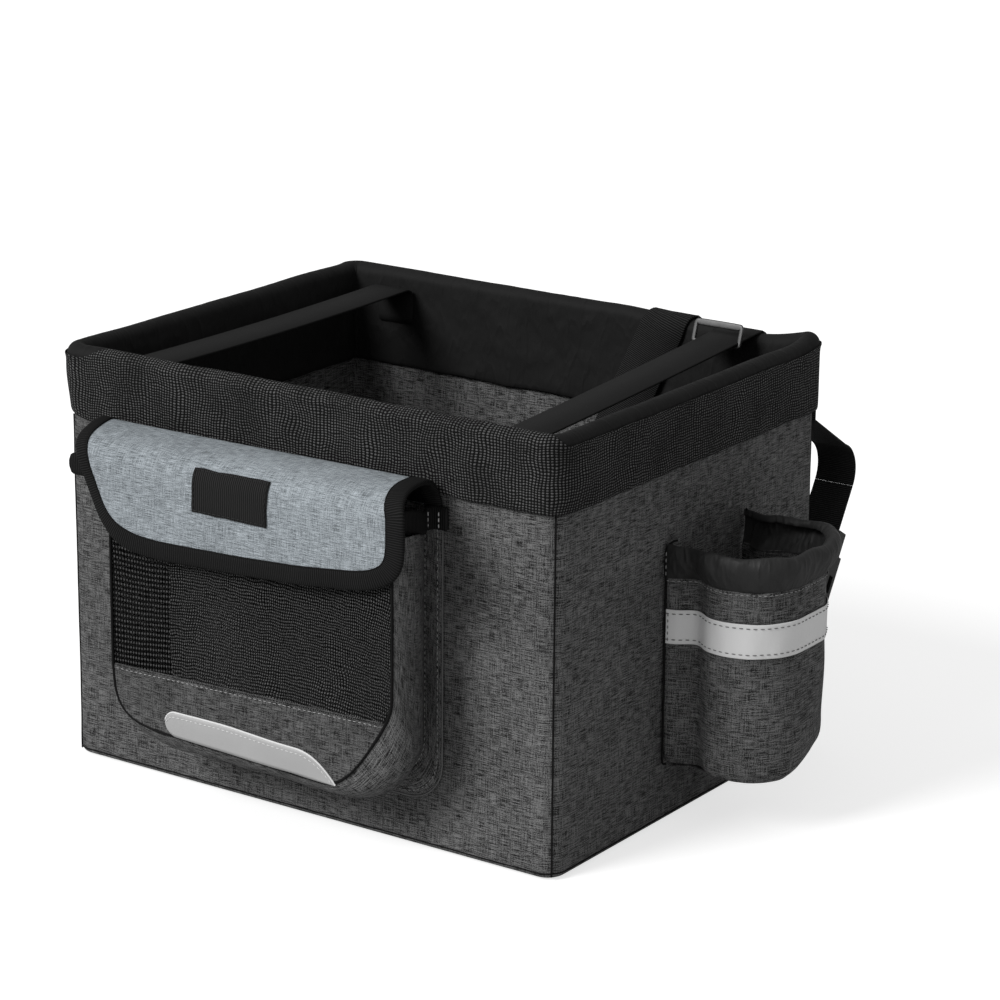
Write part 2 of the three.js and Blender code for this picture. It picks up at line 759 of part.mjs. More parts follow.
// The pocket's plan, moved outwards by out, from the wall in front to the wall behind
function bottlePlan(out, steps) {
  const half = bottlePocketWidth / 2;
  const radius = bottlePocketRadius + out;
  const centreX = bottleNearX + bottlePocketDepth - bottlePocketRadius;
  const centreY = half - bottlePocketRadius;
  const points = [];
  const straight = (fromX, fromY, toX, toY) => alongSteps(0, 1, steps).slice(0, -1).forEach((share) => {
    points.push([fromX + (toX - fromX) * share, fromY + (toY - fromY) * share]);
  });
  straight(bottleNearX, bottlePocketY - half - out, centreX, bottlePocketY - half - out);
  points.push(...arcPoints(centreX, bottlePocketY - centreY, radius, -Math.PI / 2, 0, steps).slice(0, -1));
  straight(centreX + radius, bottlePocketY - centreY, centreX + radius, bottlePocketY + centreY);
  points.push(...arcPoints(centreX, bottlePocketY + centreY, radius, 0, Math.PI / 2, steps).slice(0, -1));
  straight(centreX, bottlePocketY + half + out, bottleNearX, bottlePocketY + half + out);
  points.push([bottleNearX, bottlePocketY + half + out]);
  return points;
}

// A band that follows the pocket's plan. Its section is a list of [outwards, height], waved if asked.
function bottleBand(section, steps, wave = 0) {
  const plans = section.map(([out]) => bottlePlan(out, steps));
  const spread = section.map(([out]) => bottlePlan(out + wave, steps));
  const stationCount = plans[0].length;
  return loft(Array.from({ length: stationCount }, (_, station) => section.map(([, z, sway = 0], corner) => {
    const swing = sway * Math.sin(2 * Math.PI * ruffleWaveCount * station / (stationCount - 1));
    const [x, y] = plans[corner][station];
    const [farX, farY] = spread[corner][station];
    return new THREE.Vector3(x + (farX - x) * swing, y + (farY - y) * swing, z);
  })));
}

function buildBottlePocket() {
  const outline = (out) => {
    const plan = bottlePlan(out, bottlePocketSteps);
    return new THREE.Shape(plan.map(([x, y]) => new THREE.Vector2(x, y)));
  };
  const outer = raised(outline(0), bottlePocketBottom, bottlePocketTop);
  const hollow = raised(
    outline(-bottlePocketThickness),
    bottlePocketBottom + bottlePocketThickness,
    bottlePocketTop + cutOverrun,
  );
  const cutHalf = bottlePocketWidth / 2 - bottlePocketThickness;
  const cutBottom = bottlePocketBottom + bottlePocketThickness;
  const backCut = block(
    [bottleNearX - cutOverrun, bottlePocketY - cutHalf, cutBottom],
    [bottleNearX + cutOverrun, bottlePocketY + cutHalf, bottlePocketTop + cutOverrun],
  );
  addPiece('bottle_pocket', cutFrom(cutFrom(outer, hollow), backCut), melange);

  const foot = bottlePocketTop + seatGap;
  const top = foot + ruffleHeight;
  addPiece('bottle_pocket_ruffle', bottleBand([
    [-ruffleFoot, foot],
    [0, foot],
    [ruffleBulge, foot + ruffleHeight * ruffleFullFromShare, 1],
    [ruffleBulge, foot + ruffleHeight * ruffleFullToShare, 1],
    [ruffleTopWidth, top, 1],
    [0, top, 1],
  ], ruffleSteps, ruffleWave), blackNylon);

  addPiece('bottle_pocket_band', bottleBand([
    [seatGap, bandBottom],
    [seatGap + bandThickness, bandBottom],
    [seatGap + bandThickness, bandBottom + bandHeight],
    [seatGap, bandBottom + bandHeight],
  ], bottlePocketSteps), reflective);
}

// A flat strap along a list of places. Each has its point and the direction of the strap's width.
function strapAlong(places, width, thickness) {
  return loft(places.map(({ point, across }, i) => {
    const before = places[Math.max(i - 1, 0)].point;
    const after = places[Math.min(i + 1, places.length - 1)].point;
    const tangent = after.clone().sub(before).normalize();
    const normal = new THREE.Vector3().crossVectors(tangent, across).normalize();
    return [[-1, -1], [1, -1], [1, 1], [-1, 1]].map(([side, face]) => point.clone()
      .addScaledVector(across, side * width / 2)
      .addScaledVector(normal, face * thickness / 2));
  }));
}

const acrossX = new THREE.Vector3(1, 0, 0);
const acrossZ = new THREE.Vector3(0, 0, 1);
const innerTabY = innerSkirtY - seatGap - strapThickness / 2;
const wrapRadius = rollRadius + seatGap + strapThickness / 2;
const rollY = halfDepth - wallStack / 2;

// Places from a list of [x, y, z] that share one direction of width
function placesFrom(list, across) {
  return list.map(([x, y, z]) => ({ point: new THREE.Vector3(x, y, z), across }));
}

function buildLeftStrap() {
  const side = (sign) => [
    [leftStrapX, sign * innerTabY, leftStrapHeight - tabLength],
    ...arcPoints(0, 0, strapBend, 0, Math.PI / 2, 4).map(([out, up]) => [
      leftStrapX,
      sign * (innerTabY - strapBend + out),
      leftStrapHeight - strapBend + up,
    ]),
  ];
  const places = placesFrom([...side(-1), ...side(1).reverse()], acrossX);
  addPiece('left_strap', strapAlong(places, strapWidth, strapThickness), blackNylon);
}

// The right strap's run in the Y-Z plane, from its bend in front to where it meets the roll behind
const runStart = new THREE.Vector2(strapBend - innerTabY, rightStrapFrontHeight);
const toRoll = new THREE.Vector2(rollY, rollCentreHeight).sub(runStart);
const runSlope = Math.atan2(toRoll.y, toRoll.x) + Math.asin(wrapRadius / toRoll.length());
const runLength = Math.sqrt(toRoll.lengthSq() - wrapRadius ** 2);
const runDirection = new THREE.Vector2(Math.cos(runSlope), Math.sin(runSlope));
const runEnd = runDirection.multiplyScalar(runLength).add(runStart);

// Over the roll from an angle to the outer skirt, then down it
function overRoll(x, fromAngle) {
  return [
    ...arcPoints(rollY, rollCentreHeight, wrapRadius, fromAngle, 0, 6).map(([y, z]) => [x, y, z]),
    [x, rollY + wrapRadius, rollCentreHeight - tabLength],
  ];
}

function buildRightStrap() {
  const bendReach = strapBend * strapBendShare;
  const front = [
    [rightStrapFrontX, -innerTabY, rightStrapFrontHeight - strapBend - tabLength],
    [rightStrapFrontX, -innerTabY, rightStrapFrontHeight - strapBend],
    [rightStrapFrontX, bendReach - innerTabY, rightStrapFrontHeight - bendReach],
    [rightStrapFrontX, runStart.x, runStart.y],
  ];
  const places = placesFrom([...front, ...overRoll(rightStrapBackX, runSlope + Math.PI / 2)], acrossX);
  addPiece('right_strap', strapAlong(places, strapWidth, strapThickness), blackNylon);
}

// A rectangular loop round the right strap that can be pushed along it
function buildSlider() {
  const share = 1 - sliderSetback / runLength;
  const slider = new THREE.Group();
  slider.position.set(
    rightStrapFrontX + (rightStrapBackX - rightStrapFrontX) * share,
    runStart.x + (runEnd.x - runStart.x) * share,
    runStart.y + (runEnd.y - runStart.y) * share,
  );
  slider.rotation.x = -sliderLean;
  basket.add(slider);
  const tilt = sliderLean + runSlope;
  const barUnderside = (strapThickness / 2 + seatGap) / Math.cos(tilt) + sliderThickness / 2 * Math.tan(tilt);
  const top = barUnderside + sliderBar;
  const frame = (inset, halfLong) => block(
    [inset - sliderWidth / 2, -halfLong, top - sliderHeight + inset],
    [sliderWidth / 2 - inset, halfLong, top - inset],
  );
  const ring = cutFrom(frame(0, sliderThickness / 2), frame(sliderBar, sliderThickness / 2 + cutOverrun));
  addPiece('strap_slider', ring, steel, slider);
}

// Ribbed webbing from the outer back skirt, over the roll and slanting down inside to the floor
function buildTether() {
  const over = overRoll(tetherTopX, Math.PI).reverse();
  const foot = [tetherFootX, over[over.length - 1][1], padBottom + padCrownHeight + seatGap];
  const places = placesFrom([...over, foot], acrossX);
  addPiece('tether_webbing', strapAlong(places, tetherWidth, strapThickness), webbing);
}

// Handlebar strap and buckle. The lower run leans away from the wall and carries the buckle.
const loopRadius = handlebarDiameter / 2 + handlebarSlack + strapThickness / 2;
const wallStrapY = halfDepth + seatGap + strapThickness / 2;
const barY = halfDepth + handlebarDistance;
const lowerRun = anchorRun + seatGap + socketLength + seatGap + plugBodyLength + seatGap + tailRun;
const anchorReach = barY - wallStrapY;
const anchorDrop = Math.sqrt(lowerRun ** 2 + loopRadius ** 2 - anchorReach ** 2);
const anchorHeight = handlebarHeight - anchorDrop;
const lowerLean = Math.atan2(anchorDrop, anchorReach) - Math.atan2(loopRadius, lowerRun);
const upperRise = handlebarTabRise;
const upperDistance = Math.hypot(anchorReach, upperRise);
const upperLean = Math.atan2(upperRise, anchorReach) - Math.asin(loopRadius / upperDistance);

function alongLowerRun(distance) {
  return [wallStrapY + distance * Math.cos(lowerLean), anchorHeight + distance * Math.sin(lowerLean)];
}

function buildHandlebarStrap(side, x) {
  const lift = collarBottom - seatGap;
  const wrapStart = Math.PI / 2 - upperLean;
  const wrapEnd = lowerLean - Math.PI / 2;
  const wrap = arcPoints(barY, handlebarHeight, loopRadius, wrapStart, wrapEnd, wrapSteps);
  const upper = [[wallStrapY, lift], [wallStrapY, handlebarHeight + upperRise], ...wrap];
  addPiece(
    `handlebar_strap_${side}`,
    strapAlong(placesFrom(upper.map(([y, z]) => [x, y, z]), acrossX), strapWidth, strapThickness),
    webbing,
  );

  const tail = [lowerRun - seatGap, lowerRun - tailRun].map(alongLowerRun);
  addPiece(
    `handlebar_strap_tail_${side}`,
    strapAlong(placesFrom(tail.map(([y, z]) => [x, y, z]), acrossX), strapWidth, strapThickness),
    webbing,
  );

  const anchor = [[wallStrapY, anchorHeight - anchorTab], alongLowerRun(0), alongLowerRun(anchorRun)];
  addPiece(
    `handlebar_strap_anchor_${side}`,
    strapAlong(placesFrom(anchor.map(([y, z]) => [x, y, z]), acrossX), strapWidth, strapThickness),
    webbing,
  );

  const line = new THREE.Group();
  line.position.set(x, wallStrapY, anchorHeight);
  line.rotation.x = lowerLean;
  basket.add(line);
  addPiece(`buckle_socket_${side}`, buckleSocket(), buckle, line);
  addPiece(`buckle_plug_${side}`, bucklePlug(), buckle, line);
}

// The buckle lies along +Y of its own frame
const socketStart = anchorRun + seatGap;
const socketEnd = socketStart + socketLength;
const plugStart = socketEnd + seatGap;

function buckleSocket() {
  const halfX = socketWidth / 2;
  const halfZ = socketThickness / 2;
  const body = block([-halfX, socketStart, -halfZ], [halfX, socketEnd, halfZ]);
  const cavity = block(
    [socketWall - halfX, socketStart + socketFloor, socketWall - halfZ],
    [halfX - socketWall, socketEnd + cutOverrun, halfZ - socketWall],
  );
  const windowLow = socketStart + socketFloor + socketWall;
  const sideWindow = block(
    [-halfX - cutOverrun, windowLow, -prongThickness / 2],
    [halfX + cutOverrun, windowLow + prongLength / 2, prongThickness / 2],
  );
  return cutFrom(cutFrom(body, cavity), sideWindow);
}

function bucklePlug() {
  const halfZ = plugBodyThickness / 2;
  const bodyEnd = [plugBodyWidth / 2, plugStart + plugBodyLength, halfZ];
  const body = block([-plugBodyWidth / 2, plugStart, -halfZ], bodyEnd);
  const slotEnd = plugStart + plugBodyLength - plugSlotLength;
  const slot = block(
    [-plugSlotWidth / 2, slotEnd - plugSlotLength, -halfZ - cutOverrun],
    [plugSlotWidth / 2, slotEnd, halfZ + cutOverrun],
  );
  let plug = cutFrom(body, slot);
  const prongOuter = socketWidth / 2 - socketWall - prongInset;
  [-1, 1].forEach((side) => {
    const edges = [side * prongOuter, side * (prongOuter - prongWidth)].sort((a, b) => a - b);
    plug = joined(plug, block(
      [edges[0], plugStart - prongLength, -prongThickness / 2],
      [edges[1], plugStart + socketWall, prongThickness / 2],
    ));
  });
  return joined(plug, block(
    [-guideWidth / 2, plugStart - guideLength, -prongThickness / 2],
    [guideWidth / 2, plugStart + socketWall, prongThickness / 2],
  ));
}

function buildHeadTubeStrap() {
  const radius = headTubeDiameter / 2 + headStrapSlack + strapThickness / 2;
  const centreY = halfDepth + headTubeDistance;
  const loop = arcPoints(0, centreY, radius, 0, Math.PI, wrapSteps);
  const list = [
    [radius + headStrapTab, wallStrapY],
    [radius + strapBend, wallStrapY],
    [radius, wallStrapY + strapBend],
    ...loop,
    [-radius, wallStrapY + strapBend],
    [-radius - strapBend, wallStrapY],
    [-radius - headStrapTab, wallStrapY],
  ];
  const places = placesFrom(list.map(([x, y]) => [x, y, headStrapMiddle]), acrossZ);
  addPiece('head_tube_strap', strapAlong(places, strapWidth, strapThickness), webbing);
}

buildWalls();
buildFloor();
buildCollar();
buildPad();
buildPocket();
buildFlap();
buildBottlePocket();
buildLeftStrap();
buildRightStrap();
buildSlider();
buildTether();
buildHandlebarStrap('left', -handlebarStrapX);
buildHandlebarStrap('right', handlebarStrapX);
buildHeadTubeStrap();

export default basket;
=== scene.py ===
# Looks of a soft pet basket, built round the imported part
# Points are in millimetres in the part's own frame until a mesh is made, and UV maps are in millimetres too
import math

import bpy
from mathutils import Matrix, Vector, noise


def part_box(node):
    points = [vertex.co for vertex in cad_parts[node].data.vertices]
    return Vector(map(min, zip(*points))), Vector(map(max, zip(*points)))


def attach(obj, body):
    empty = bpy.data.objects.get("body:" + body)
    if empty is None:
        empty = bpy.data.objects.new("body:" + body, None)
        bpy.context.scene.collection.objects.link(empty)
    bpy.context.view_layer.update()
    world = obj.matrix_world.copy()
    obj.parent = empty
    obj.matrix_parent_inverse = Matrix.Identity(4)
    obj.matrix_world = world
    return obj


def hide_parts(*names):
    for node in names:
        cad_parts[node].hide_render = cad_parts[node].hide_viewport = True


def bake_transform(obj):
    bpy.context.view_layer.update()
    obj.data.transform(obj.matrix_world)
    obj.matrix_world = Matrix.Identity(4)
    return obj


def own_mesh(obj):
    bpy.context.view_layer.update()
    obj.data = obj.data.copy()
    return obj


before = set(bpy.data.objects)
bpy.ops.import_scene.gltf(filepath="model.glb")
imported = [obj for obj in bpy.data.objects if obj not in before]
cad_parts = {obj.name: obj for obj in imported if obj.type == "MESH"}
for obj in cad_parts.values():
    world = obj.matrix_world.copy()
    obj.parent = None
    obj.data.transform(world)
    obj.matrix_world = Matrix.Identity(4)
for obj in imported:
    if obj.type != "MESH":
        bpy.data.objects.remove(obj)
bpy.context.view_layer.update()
print("frame loaded with", len(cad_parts), "nodes")

mm = 0.001
basketValues = {"halfX": 165.0, "halfY": 132.0, "corner": 11.0, "rimEnds": 118.0}
# where the straps and the tether cross the rim, along x
crossings = {"left": -124.0, "rightFront": 86.0, "rightRear": 115.0, "tether": 69.5, "bar": 149.0}


# Small helpers for points
def mixed(a, b, share):
    return a + (b - a) * share


def eased(low, high, value):
    share = min(1.0, max(0.0, (value - low) / (high - low)))
    return share * share * (3 - 2 * share)


def rough(x, y=0.0, z=0.0):  # smooth noise from -1 to 1
    return noise.noise(Vector((x, y, z)))


def shares(count):
    return [step / count for step in range(count + 1)]


def lengthsAlong(points):
    found = [0.0]
    for before, after in zip(points, points[1:]):
        found.append(found[-1] + (after - before).length)
    return found


def spotsAt(line, goals):  # (stretch, share of it, point) at rising lengths along a line
    lengths = lengthsAlong(line)
    found, index = [], 0
    for goal in goals:
        while index < len(lengths) - 2 and lengths[index + 1] < goal:
            index += 1
        span = max(lengths[index + 1] - lengths[index], 1e-9)
        share = min(1.0, max(0.0, (goal - lengths[index]) / span))
        found.append((index, share, line[index].lerp(line[index + 1], share)))
    return found


def resampled(line, count):  # the same line in a fixed count of steps
    total = lengthsAlong(line)[-1]
    return [spot for _, _, spot in spotsAt(line, [total * share for share in shares(count)])]


def evenly(line, spacing):  # the same line, with points a fixed way apart
    return resampled(line, max(1, round(lengthsAlong(line)[-1] / spacing)))


def directionAt(line, i):
    return (line[min(i + 1, len(line) - 1)] - line[max(i - 1, 0)]).normalized()


def sideAt(line, i):  # to the right of a flat line's run
    along = directionAt(line, i)
    return Vector((along.y, -along.x))


def rounded(points, passes=2):  # cuts the corners of a line, keeping its ends
    for _ in range(passes):
        cut = [points[0]]
        for a, b in zip(points, points[1:]):
            cut += [a.lerp(b, 0.25), a.lerp(b, 0.75)]
        points = cut + [points[-1]]
    return points


def bezier(places, count):
    found = []
    for share in shares(count):
        line = list(places)
        while len(line) > 1:
            line = [a.lerp(b, share) for a, b in zip(line, line[1:])]
        found.append(line[0])
    return found


def ringAbout(middle, side, up, radius, count):
    turns = [2 * math.pi * k / count for k in range(count)]
    return [middle + (side * math.cos(turn) + up * math.sin(turn)) * radius for turn in turns]


# Pieces and meshes
def settle(piece, slot, *nodes, body="basket"):
    # hides the imported nodes that a piece stands for, and hangs the piece on the body that it rides on
    if nodes:
        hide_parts(*nodes)
    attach(piece, body)
    return piece


def linked(thing):
    bpy.context.scene.collection.objects.link(thing)
    return thing


def meshPiece(name, points, faces, uvs, material):
    mesh = bpy.data.meshes.new(name)
    mesh.from_pydata([p * mm for p in points], [], faces)
    layer = mesh.uv_layers.new(name="clothMap")
    for index, uv in enumerate(uvs):
        layer.data[index].uv = uv
    for kind in material if isinstance(material, list) else [material]:
        mesh.materials.append(kind)
    mesh.polygons.foreach_set("use_smooth", [True] * len(mesh.polygons))
    return linked(bpy.data.objects.new(name, mesh))


def clothFrom(name, rows, material, loop=False, flip=False, uvRows=None):
    # rows of points; across runs along a row, up runs from row to row
    count = len(rows[0])
    middle = rows[len(rows) // 2]
    across = lengthsAlong(list(middle) + ([middle[0]] if loop else []))
    up = lengthsAlong([row[count // 2] for row in rows])
    faces, uvs = [], []
    for r in range(len(rows) - 1):
        for c in range(count if loop else count - 1):
            corners = [(r, c), (r, c + 1), (r + 1, c + 1), (r + 1, c)]
            if flip:
                corners.reverse()
            faces.append([row * count + column % count for row, column in corners])
            for row, column in corners:
                uvs.append(uvRows[row][column] if uvRows else (across[column], up[row]))
    return meshPiece(name, [p for row in rows for p in row], faces, uvs, material)


def sweptFrom(name, sections, material, closedPath=False):
    # a closed body through sections; each section is a ring of points
    count = len(sections[0])
    middles = [sum(ring, Vector()) / count for ring in sections]
    alongPath = lengthsAlong(middles)
    rings = [lengthsAlong(list(ring) + [ring[0]]) for ring in sections]
    points = [p for ring in sections for p in ring]
    faces, uvs = [], []
    spans = len(sections) if closedPath else len(sections) - 1
    closing = alongPath[-1] + (middles[0] - middles[-1]).length
    for s in range(spans):
        far = (s + 1) % len(sections)
        farLength = alongPath[far] if far else closing
        for c in range(count):
            n = (c + 1) % count
            faces.append([s * count + c, s * count + n, far * count + n, far * count + c])
            uvs += [(rings[s][c], alongPath[s]), (rings[s][c + 1], alongPath[s]),
                    (rings[far][c + 1], farLength), (rings[far][c], farLength)]
    if not closedPath:
        last = (len(sections) - 1) * count
        faces.append(list(reversed(range(count))))
        uvs += [(rings[0][c], 0.0) for c in reversed(range(count))]
        faces.append([last + c for c in range(count)])
        uvs += [(rings[-1][c], alongPath[-1]) for c in range(count)]
    return facedOut(meshPiece(name, points, faces, uvs, material))


def facedOut(piece):
    # turns a closed mesh right side out
    mesh = piece.data
    volume = 0.0
    mesh.calc_loop_triangles()
    for triangle in mesh.loop_triangles:
        a, b, c = (mesh.vertices[i].co for i in triangle.vertices)
        volume += a.dot(b.cross(c))
    if volume < 0:
        mesh.flip_normals()
    return piece


def withThickness(piece, thickness, offset=-1.0, levels=1, lining=None):
    solid = piece.modifiers.new("thickness", "SOLIDIFY")
    solid.thickness = thickness * mm
    solid.offset = offset
    solid.use_even_offset = False
    if lining is not None:
        solid.material_offset = lining
    if levels:
        softened(piece, levels)
    return piece


def softened(piece, levels=1):
    smoother = piece.modifiers.new("soften", "SUBSURF")
    smoother.levels = levels
    smoother.render_levels = levels
    return piece


def tube(name, path, radius, material, sides=8, closed=False):
    sections, side = [], None
    for i, point in enumerate(path):
        before = path[i - 1] if i or closed else path[0]
        after = path[(i + 1) % len(path)] if i < len(path) - 1 or closed else path[-1]
        along = (after - before).normalized()
        if side is None:
            side = along.orthogonal().normalized()
        side = (side - along * side.dot(along)).normalized()
        sections.append(ringAbout(point, side, along.cross(side), radius, sides))
    return sweptFrom(name, sections, material, closed)


def tapeAlong(name, path, across, thickness, material):
    # the width direction is squared to the path, and the face follows from both
    half, deep, edge = tapeWidth / 2, thickness / 2, 0.35
    outline = [
        (-half + edge, -deep), (half - edge, -deep), (half, -deep * 0.4), (half, deep * 0.4),
        (half - edge, deep), (0.0, deep), (-half + edge, deep), (-half, deep * 0.4), (-half, -deep * 0.4),
    ]
    sections = []
    for i, point in enumerate(path):
        along = directionAt(path, i)
        squared = (across - along * across.dot(along)).normalized()
        face = along.cross(squared).normalized()
        sections.append([point + squared * a + face * b for a, b in outline])
    return sweptFrom(name, sections, material)


tapeWidth = 25.0
# share of a stitch's length, girth and rise
stitchShape = ((0, 0.35, -0.5), (0.2, 0.9, 0.6), (0.5, 1.0, 1.0), (0.8, 0.9, 0.6), (1, 0.35, -0.5))


def stitchRow(name, runs, material, slot, length, gap, radius, body="basket", lift=0.12, sides=6):
    # runs are lists of (point, outward direction); each stitch is a small sewn bar that dips at its ends
    points, faces, uvs = [], [], []
    for run in runs:
        line = [spot for spot, _ in run]
        goals, place, total = [], gap / 2, lengthsAlong(line)[-1]
        while place + length < total:
            goals += [place, place + length]
            place += length + gap
        ends = [(spot, run[i][1].lerp(run[i + 1][1], share)) for i, share, spot in spotsAt(line, goals)]
        for (a, outA), (b, outB) in zip(ends[::2], ends[1::2]):
            along, base = (b - a).normalized(), len(points)
            for share, girth, rise in stitchShape:
                out = outA.lerp(outB, share).normalized()
                middle = a.lerp(b, share) + out * lift * rise
                points += ringAbout(middle, along.cross(out).normalized(), out, radius * girth, sides)
            for ring in range(len(stitchShape) - 1):
                for k in range(sides):
                    first, second = (base + ring * sides + n for n in (k, (k + 1) % sides))
                    faces.append([first, second, second + sides, first + sides])
                    left, right = k * 0.3, k * 0.3 + 0.3
                    uvs += [(left, ring), (right, ring), (right, ring + 1), (left, ring + 1)]
    return settle(meshPiece(name, points, faces, uvs, material), slot, body=body)


# Shader helpers
def put(tree, kind, inputs=None, **settings):
    node = tree.nodes.new(kind)
    for key, value in settings.items():
        setattr(node, key, value)
    for key, value in (inputs or {}).items():
        socket = node.inputs[key]
        if isinstance(value, bpy.types.NodeSocket):
            tree.links.new(value, socket)
        else:
            socket.default_value = value
    return node


def maths(tree, operation, a, b=0.0, c=0.0, clamp=False):
    node = put(tree, "ShaderNodeMath", {0: a, 1: b, 2: c}, operation=operation, use_clamp=clamp)
    return node.outputs[0]


def scaledPlace(tree, place, factor):
    return put(tree, "ShaderNodeVectorMath", {0: place, 1: factor}, operation="MULTIPLY").outputs[0]


def noiseValue(tree, place, scale=1.0, detail=2.0, roughness=0.5):
    inputs = {"Vector": place, "Scale": scale, "Detail": detail, "Roughness": roughness}
    return put(tree, "ShaderNodeTexNoise", inputs).outputs["Fac"]


def centred(tree, value, factor):  # swings either side of nought
    return maths(tree, "MULTIPLY", maths(tree, "SUBTRACT", value, 0.5), factor)


def waved(tree, part, shift, pitch):
    turns = maths(tree, "DIVIDE", maths(tree, "ADD", part, shift), pitch)
    return maths(tree, "COSINE", maths(tree, "MULTIPLY", turns, 2 * math.pi))


def ranged(tree, value, low, high, toLow=0.0, toHigh=1.0):
    inputs = {"Value": value, "From Min": low, "From Max": high, "To Min": toLow, "To Max": toHigh}
    return put(tree, "ShaderNodeMapRange", inputs).outputs["Result"]


def colourMix(tree, factor, first, second, blend="MIX"):
    inputs = {0: factor, 6: first, 7: second}
    return put(tree, "ShaderNodeMix", inputs, data_type="RGBA", blend_type=blend).outputs[2]


def useGroup(tree, group, inputs):
    return put(tree, "ShaderNodeGroup", inputs, node_tree=group).outputs


def newGroup(name, inputs, outputs):
    tree = bpy.data.node_groups.new(name, "ShaderNodeTree")
    for label, kind, value in inputs:
        socket = tree.interface.new_socket(label, in_out="INPUT", socket_type=kind)
        if value is not None:
            socket.default_value = value
    for label, kind in outputs:
        tree.interface.new_socket(label, in_out="OUTPUT", socket_type=kind)
    return tree, tree.nodes.new("NodeGroupInput").outputs, tree.nodes.new("NodeGroupOutput").inputs


number, vector = "NodeSocketFloat", "NodeSocketVector"


def heatherGroup():  # fine two-tone yarns with short bright threads and slow clouds of tone
    inputs = [("Place", vector, None), ("Yarn", number, 1.0), ("Streak", number, 7.0),
              ("Contrast", number, 1.0), ("Level", number, 0.45), ("Skew", number, 1.7)]
    tree, given, wanted = newGroup("heatherYarn", inputs, [("Flecks", number), ("Height", number)])
    place, contrast = given["Place"], given["Contrast"]
    thin, long = (maths(tree, "DIVIDE", 1.0, given[key]) for key in ("Yarn", "Streak"))
    weft, warp, grain = (put(tree, "ShaderNodeCombineXYZ", {0: a, 1: b}).outputs[0]
                         for a, b in ((long, thin), (thin, long), (thin, thin)))
    total = 0.0
    for stretch, weight in ((weft, 1.984), (warp, 1.344), (grain, 1.984)):
        yarn = noiseValue(tree, scaledPlace(tree, place, stretch), 1.0, 0.0, 0.6)
        total = maths(tree, "ADD", total, centred(tree, yarn, weight))
    for scale, weight in ((0.16, 0.55), (0.03, 0.5)):
        total = maths(tree, "ADD", total, centred(tree, noiseValue(tree, place, scale), weight))
    shifted = put(tree, "ShaderNodeVectorMath", {0: place, 1: (31.7, 12.3, 5.1)}, operation="ADD").outputs[0]
    thread = ranged(tree, noiseValue(tree, scaledPlace(tree, shifted, weft), 1.3, 0.0), 0.6, 0.74)
    bright = maths(tree, "MULTIPLY", thread, maths(tree, "MULTIPLY", contrast, 0.55))
    flecks = maths(tree, "MULTIPLY_ADD", total, contrast, bright)
    flecks = maths(tree, "ADD", flecks, given["Level"], clamp=True)
    tree.links.new(maths(tree, "POWER", flecks, given["Skew"]), wanted["Flecks"])
    tree.links.new(total, wanted["Height"])
    return tree


def dottedGroup():  # thick yarns that show as wavy rows of dots
    inputs = [("Place", vector, None), ("Pitch X", number, 1.9), ("Pitch Y", number, 1.5),
              ("Drift", number, 0.5), ("Thick", number, 0.5)]
    tree, given, wanted = newGroup("dottedWeave", inputs, [("Dots", number), ("Height", number)])
    place = given["Place"]
    parts = put(tree, "ShaderNodeSeparateXYZ", {0: place}).outputs
    bumps = []
    for part, pitch, scale, reach in ((parts[0], "Pitch X", 0.035, 40.0), (parts[1], "Pitch Y", 0.12, 9.0)):
        drift = maths(tree, "MULTIPLY", given["Drift"], reach)
        sway = centred(tree, noiseValue(tree, place, scale, 1.0), drift)
        bumps.append(maths(tree, "MULTIPLY_ADD", waved(tree, part, sway, given[pitch]), 0.5, 0.5))
    height = maths(tree, "MULTIPLY", *bumps)
    uneven = noiseValue(tree, place, 0.55, 2.0, 0.6)
    edge = maths(tree, "SUBTRACT", 0.75, maths(tree, "MULTIPLY", given["Thick"], 0.7))
    dots = ranged(tree, height, maths(tree, "SUBTRACT", edge, 0.25), maths(tree, "ADD", edge, 0.2))
    tree.links.new(maths(tree, "MULTIPLY", dots, ranged(tree, uneven, 0.3, 0.62, 0.35, 1.15)), wanted["Dots"])
    cloth = maths(tree, "MULTIPLY", maths(tree, "MAXIMUM", *bumps), 0.5)
    tree.links.new(maths(tree, "MULTIPLY_ADD", height, 0.5, cloth), wanted["Height"])
    return tree


def ribGroup():  # cords that run across a tape
    inputs = [("Place", vector, None), ("Pitch", number, 1.2), ("Wander", number, 0.25)]
    tree, given, wanted = newGroup("tapeRibs", inputs, [("Ribs", number), ("Height", number)])
    place = given["Place"]
    sway = centred(tree, noiseValue(tree, place, 0.25, 1.0), maths(tree, "MULTIPLY", given["Wander"], 4.0))
    parts = put(tree, "ShaderNodeSeparateXYZ", {0: place}).outputs
    height = maths(tree, "MULTIPLY_ADD", waved(tree, parts[1], sway, given["Pitch"]), -0.5, 0.5)
    tree.links.new(maths(tree, "POWER", height, 2.0), wanted["Ribs"])
    tree.links.new(maths(tree, "MULTIPLY_ADD", noiseValue(tree, place, 2.2), 0.35, height), wanted["Height"])
    return tree


def shrunk(tree, given):
    factor = maths(tree, "DIVIDE", 1.0, given["Size"])
    inputs = {0: given["Place"], "Scale": factor}
    return put(tree, "ShaderNodeVectorMath", inputs, operation="SCALE").outputs[0]


